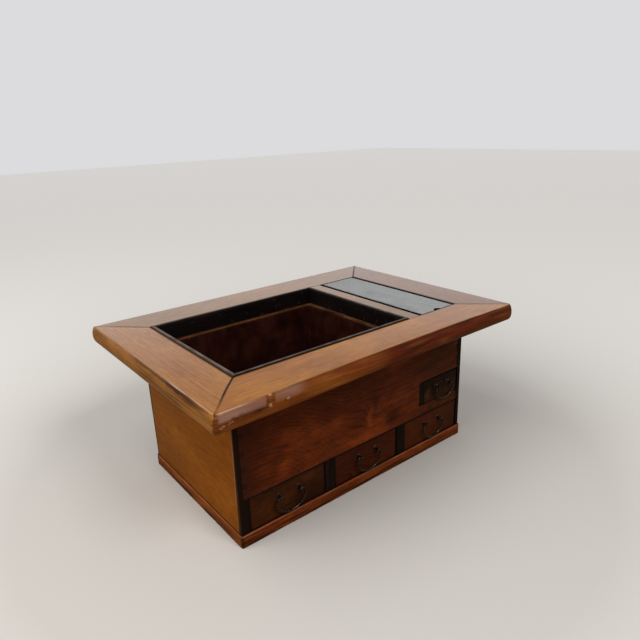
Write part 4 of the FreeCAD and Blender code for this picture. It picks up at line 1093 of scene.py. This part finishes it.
# The fronts' eased edges are near-black: painted shade of the gaps round them.
shaded_front_edges = timber(
    "drawer front's edges, darkened in their openings", "X",
    early="#1a0d08", late="#120805", glow="#24130c", rubbed="#7a543a", grime="#0c0604",
    ring=5.0 * mm, pith=(0.0, -0.3, 0.1), wander=10 * mm, contrast=0.5, roughness=0.6, specular=0.1)
for name, (early, late, glow, pith, lean, roughness, glows) in drawer_fronts.items():
    front = timber(
        "lacquered zelkova drawer front, " + name, "X",
        early=early, late=late, glow=glow, rubbed="#7a543a", grime="#130a07",
        ring=5.0 * mm, pith=pith, lean=lean, wander=16 * mm, contrast=0.75, roughness=roughness,
        specular=0.12, glows=[(x, front_face, z, size, amount) for x, z, size, amount in glows],
        mottled=0.12, streaky=0.20, late_start=0.62)
    drawer = "drawer_" + name
    low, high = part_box(drawer + "_front")
    # Painted shade darkens each front along its top and towards its two ends, from the gaps round it.
    for limit in (("Z", high.z - 7 * mm, high.z - 1 * mm), ("X", low.x + 6 * mm, low.x + 1 * mm),
                  ("X", high.x - 8 * mm, high.x - 1 * mm)):
        stained(front, "#140a07", 0.7, limit)
    eased(drawer + "_front", front, drawer, 0.4 * mm, shaded_front_edges)
    eased(drawer + "_sides", inner_woods["Y"], drawer, 0.3 * mm)
    eased(drawer + "_back", inner_woods["X"], drawer, 0.3 * mm)
    eased(drawer + "_base", inner_woods["X"], drawer, 0.3 * mm)


# Handles. Forged iron: a rod drawn thinner to its ends, bent to a wide loop, curled in at the top
# and passed through the eyes of two folded strips, which go through domed washers and the drawer
# front and are clenched behind it.

# The iron is blackened and waxed, brown with old rust: small hard glints on a dark, pitted skin.
iron = bpy.data.materials.new("forged iron, blackened and waxed")
iron.use_nodes = True
tree = iron.node_tree
shader = tree.nodes["Principled BSDF"]
place = add(tree, "ShaderNodeTexCoord").outputs["Object"]
scale_marks = add(tree, "ShaderNodeTexNoise", {"Vector": place, "Scale": 260.0, "Detail": 4.0}).outputs[0]
rust_marks = add(tree, "ShaderNodeTexNoise", {"Vector": place, "Scale": 70.0, "Detail": 5.0,
                                              "Roughness": 0.7}).outputs[0]
skin = add(tree, "ShaderNodeValToRGB", {"Fac": scale_marks}, stops=[
    (share, linear(tint)) for share, tint in ((0.30, "#2b2420"), (0.55, "#4a4038"), (0.75, "#786b5e"))])
rusty = add(tree, "ShaderNodeMapRange", {0: rust_marks, 1: 0.56, 2: 0.72, 3: 0.0, 4: 0.7}).outputs[0]
colour = add(tree, "ShaderNodeMix", {0: rusty, 6: skin.outputs["Color"], 7: linear("#4a2a1c")},
             data_type="RGBA")
tree.links.new(colour.outputs[2], shader.inputs["Base Color"])
bare = add(tree, "ShaderNodeMapRange", {0: rusty, 1: 0.0, 2: 0.8, 3: 0.95, 4: 0.3}).outputs[0]
tree.links.new(bare, shader.inputs["Metallic"])
rough = add(tree, "ShaderNodeMapRange", {0: rust_marks, 1: 0.35, 2: 0.70, 3: 0.24, 4: 0.48}).outputs[0]
tree.links.new(rough, shader.inputs["Roughness"])
bump = add(tree, "ShaderNodeBump", {"Height": scale_marks, "Distance": 0.10 * mm, "Strength": 0.6})
tree.links.new(bump.outputs[0], shader.inputs["Normal"])

post_spacing, eye_radius, eye_bore, eye_width = 46.5 * mm, 3.9 * mm, 2.25 * mm, 5.0 * mm
strip_width, strip_half_thickness = 3.6 * mm, 1.5 * mm
washer_radius, washer_hole, washer_rise = 6.0 * mm, 1.2 * mm, 1.8 * mm
half_width, drop, widest_drop, side_radius, curl_radius = 32.5 * mm, 36.5 * mm, 12 * mm, 20 * mm, 3.5 * mm
rod_radius, pin_radius, head_radius, head_length = 2.2 * mm, 2.0 * mm, 2.75 * mm, 2.2 * mm
rod_sides = 14


def bail_line(scale):
    """Half the loop, from the bottom's middle to the pin's head: three arcs that run into each other
    and a straight pin; then its mirror image, so that the line goes from head to head. All but the
    eyes shrinks by the scale."""
    low, wide, side, curl = drop * scale, widest_drop * scale, side_radius * scale, curl_radius * scale
    side_x = half_width * scale - side
    rise = low - wide
    bottom = (side_x ** 2 + rise ** 2 - side ** 2) / (2 * (rise - side))
    spread = math.degrees(math.atan2(side_x, bottom - rise))
    curl_start = math.degrees(math.asin((wide - curl) / (side - curl)))
    curl_x = side_x + math.sqrt((side - curl) ** 2 - (wide - curl) ** 2)
    head_x = (post_spacing * scale - eye_width) / 2 - 0.3 * mm
    half = np.concatenate((
        arc((0, bottom - low), bottom, -90, -90 + spread, 22),
        arc((side_x, -wide), side, -90 + spread, curl_start, 18)[1:],
        arc((curl_x, -curl), curl, curl_start, 90, 12)[1:],
        np.linspace((curl_x, 0), (head_x, 0), 10)[1:],
    ))
    return np.concatenate((half[::-1] * (-1, 1), half[1:]))


def swept_bail(centre, scale, seed):
    """A round rod along the line: its radius falls from the bottom to the pins and swells at the
    heads, each ring lying across the line's direction."""
    line = bail_line(scale)
    ahead = np.gradient(line, axis=0)
    ahead /= np.linalg.norm(ahead, axis=1, keepdims=True)
    across = np.stack((-ahead[:, 1], ahead[:, 0]), -1)
    height_share = np.clip(1 + line[:, 1] / (drop * scale), 0, 1)
    radius = rod_radius + (pin_radius - rod_radius) * height_share ** 1.5
    from_head = np.abs(np.abs(line[:, 0]) - line[-1, 0])
    at_head = (from_head < head_length) & (line[:, 1] > -0.1 * mm)
    radius = np.where(at_head, pin_radius + (head_radius - pin_radius) * np.sin(
        np.clip(from_head / head_length, 0, 1) * math.pi) ** 0.5, radius)
    turn = np.linspace(0, 2 * math.pi, rod_sides, endpoint=False)
    flat = across[:, None, :] * (np.cos(turn)[None, :, None] * radius[:, None, None])
    x = centre[0] + line[:, None, 0] + flat[..., 0]
    z = centre[2] + line[:, None, 1] + flat[..., 1]
    y = centre[1] + np.sin(turn)[None] * radius[:, None]
    rod = np.stack((x, y, z), -1)
    heart = np.stack((centre[0] + line[:, 0], np.full(len(line), centre[1]), centre[2] + line[:, 1]), -1)
    hammered = 1 - 0.03 * np.clip(ripple(rod, 14 * mm, seed), 0, 1)
    return capped(heart[:, None] + (rod - heart[:, None]) * hammered[..., None])


def turned(profile, centre, axis, count):
    """A closed profile of (distance along the axis, radius) turned once round an axis, X or Y."""
    turn = np.linspace(0, 2 * math.pi, count + 1)[:, None]
    level = np.broadcast_to(profile[:, 0], (count + 1, len(profile)))
    first, second = profile[:, 1] * np.cos(turn), profile[:, 1] * np.sin(turn)
    return np.array(centre) + np.stack((level, first, second) if axis == "X" else (first, level, second), -1)


def strip(start, end, half_x, half_other, taper):
    """A strip from one point to another along Y or Z, its four corners eased, its ends drawn in."""
    share = np.linspace(0, 1, 9)
    narrow = 1 - taper * np.clip(np.abs(2 * share - 1) - 0.6, 0, 1) / 0.4
    corner = np.array([(1, 0.7), (0.7, 1), (-0.7, 1), (-1, 0.7),
                       (-1, -0.7), (-0.7, -1), (0.7, -1), (1, -0.7)])
    middle = np.array(start) + share[:, None] * (np.array(end) - np.array(start))
    x = middle[:, None, 0] + corner[:, 0] * half_x * narrow[:, None]
    other = corner[:, 1] * half_other + 0 * narrow[:, None]
    along_y = abs(end[1] - start[1]) > abs(end[2] - start[2])
    y = middle[:, None, 1] + (0 if along_y else other)
    z = middle[:, None, 2] + (other if along_y else 0)
    return capped(np.stack((x, y + 0 * x, z + 0 * x), -1))


def post(x, axis_y, z, face_y, inside_y, back_y, leg):
    """An eye, its folded strip, a domed washer on the drawer front, and two legs clenched behind."""
    ease = 0.6 * mm
    half = eye_width / 2
    eye = np.array([(-half + ease, eye_bore), (half - ease, eye_bore), (half, eye_bore + ease),
                    (half, eye_radius - ease), (half - ease, eye_radius),
                    (-half + ease, eye_radius), (-half, eye_radius - ease), (-half, eye_bore + ease)])
    rim_share = np.linspace(0, 1, 9)
    dome = np.stack((-washer_rise * (1 - rim_share ** 2.2) ** 0.8,
                     washer_hole + (washer_radius - washer_hole) * rim_share), -1)
    dome = np.concatenate((dome, [(0.0, washer_hole)]))
    return [
        turned(eye, (x, axis_y, z), "X", 20),
        turned(dome, (x, face_y, z), "Y", 28),
        strip((x, axis_y + eye_bore + 0.4 * mm, z), (x, inside_y, z), strip_width / 2,
              strip_half_thickness, 0),
        strip((x, (inside_y + back_y) / 2, z - leg), (x, (inside_y + back_y) / 2, z + leg),
              strip_width / 2, (back_y - inside_y) / 2, 0.5),
    ]


for seed, name in enumerate(("left", "middle", "right", "upper")):
    drawer = "drawer_" + name
    low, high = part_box(drawer + "_posts")
    face_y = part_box(drawer + "_front")[0].y
    inside_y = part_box(drawer + "_front")[1].y
    axis_y = low.y + eye_radius
    middle_x, axis_z, leg = (low.x + high.x) / 2, (low.z + high.z) / 2, (high.z - low.z) / 2
    scale = (high.x - low.x - 2 * washer_radius) / post_spacing
    posts = []
    for x in (middle_x - post_spacing * scale / 2, middle_x + post_spacing * scale / 2):
        posts += post(x, axis_y, axis_z, face_y, inside_y, high.y, leg)
    surface(drawer + "_eye_posts", posts, iron, drawer, [drawer + "_posts"])
    bail = swept_bail((middle_x, axis_y, axis_z), scale, 91 + seed)
    surface(drawer + "_loop", [bail], iron, "bail_" + name, [drawer + "_bail"], sharp=60)
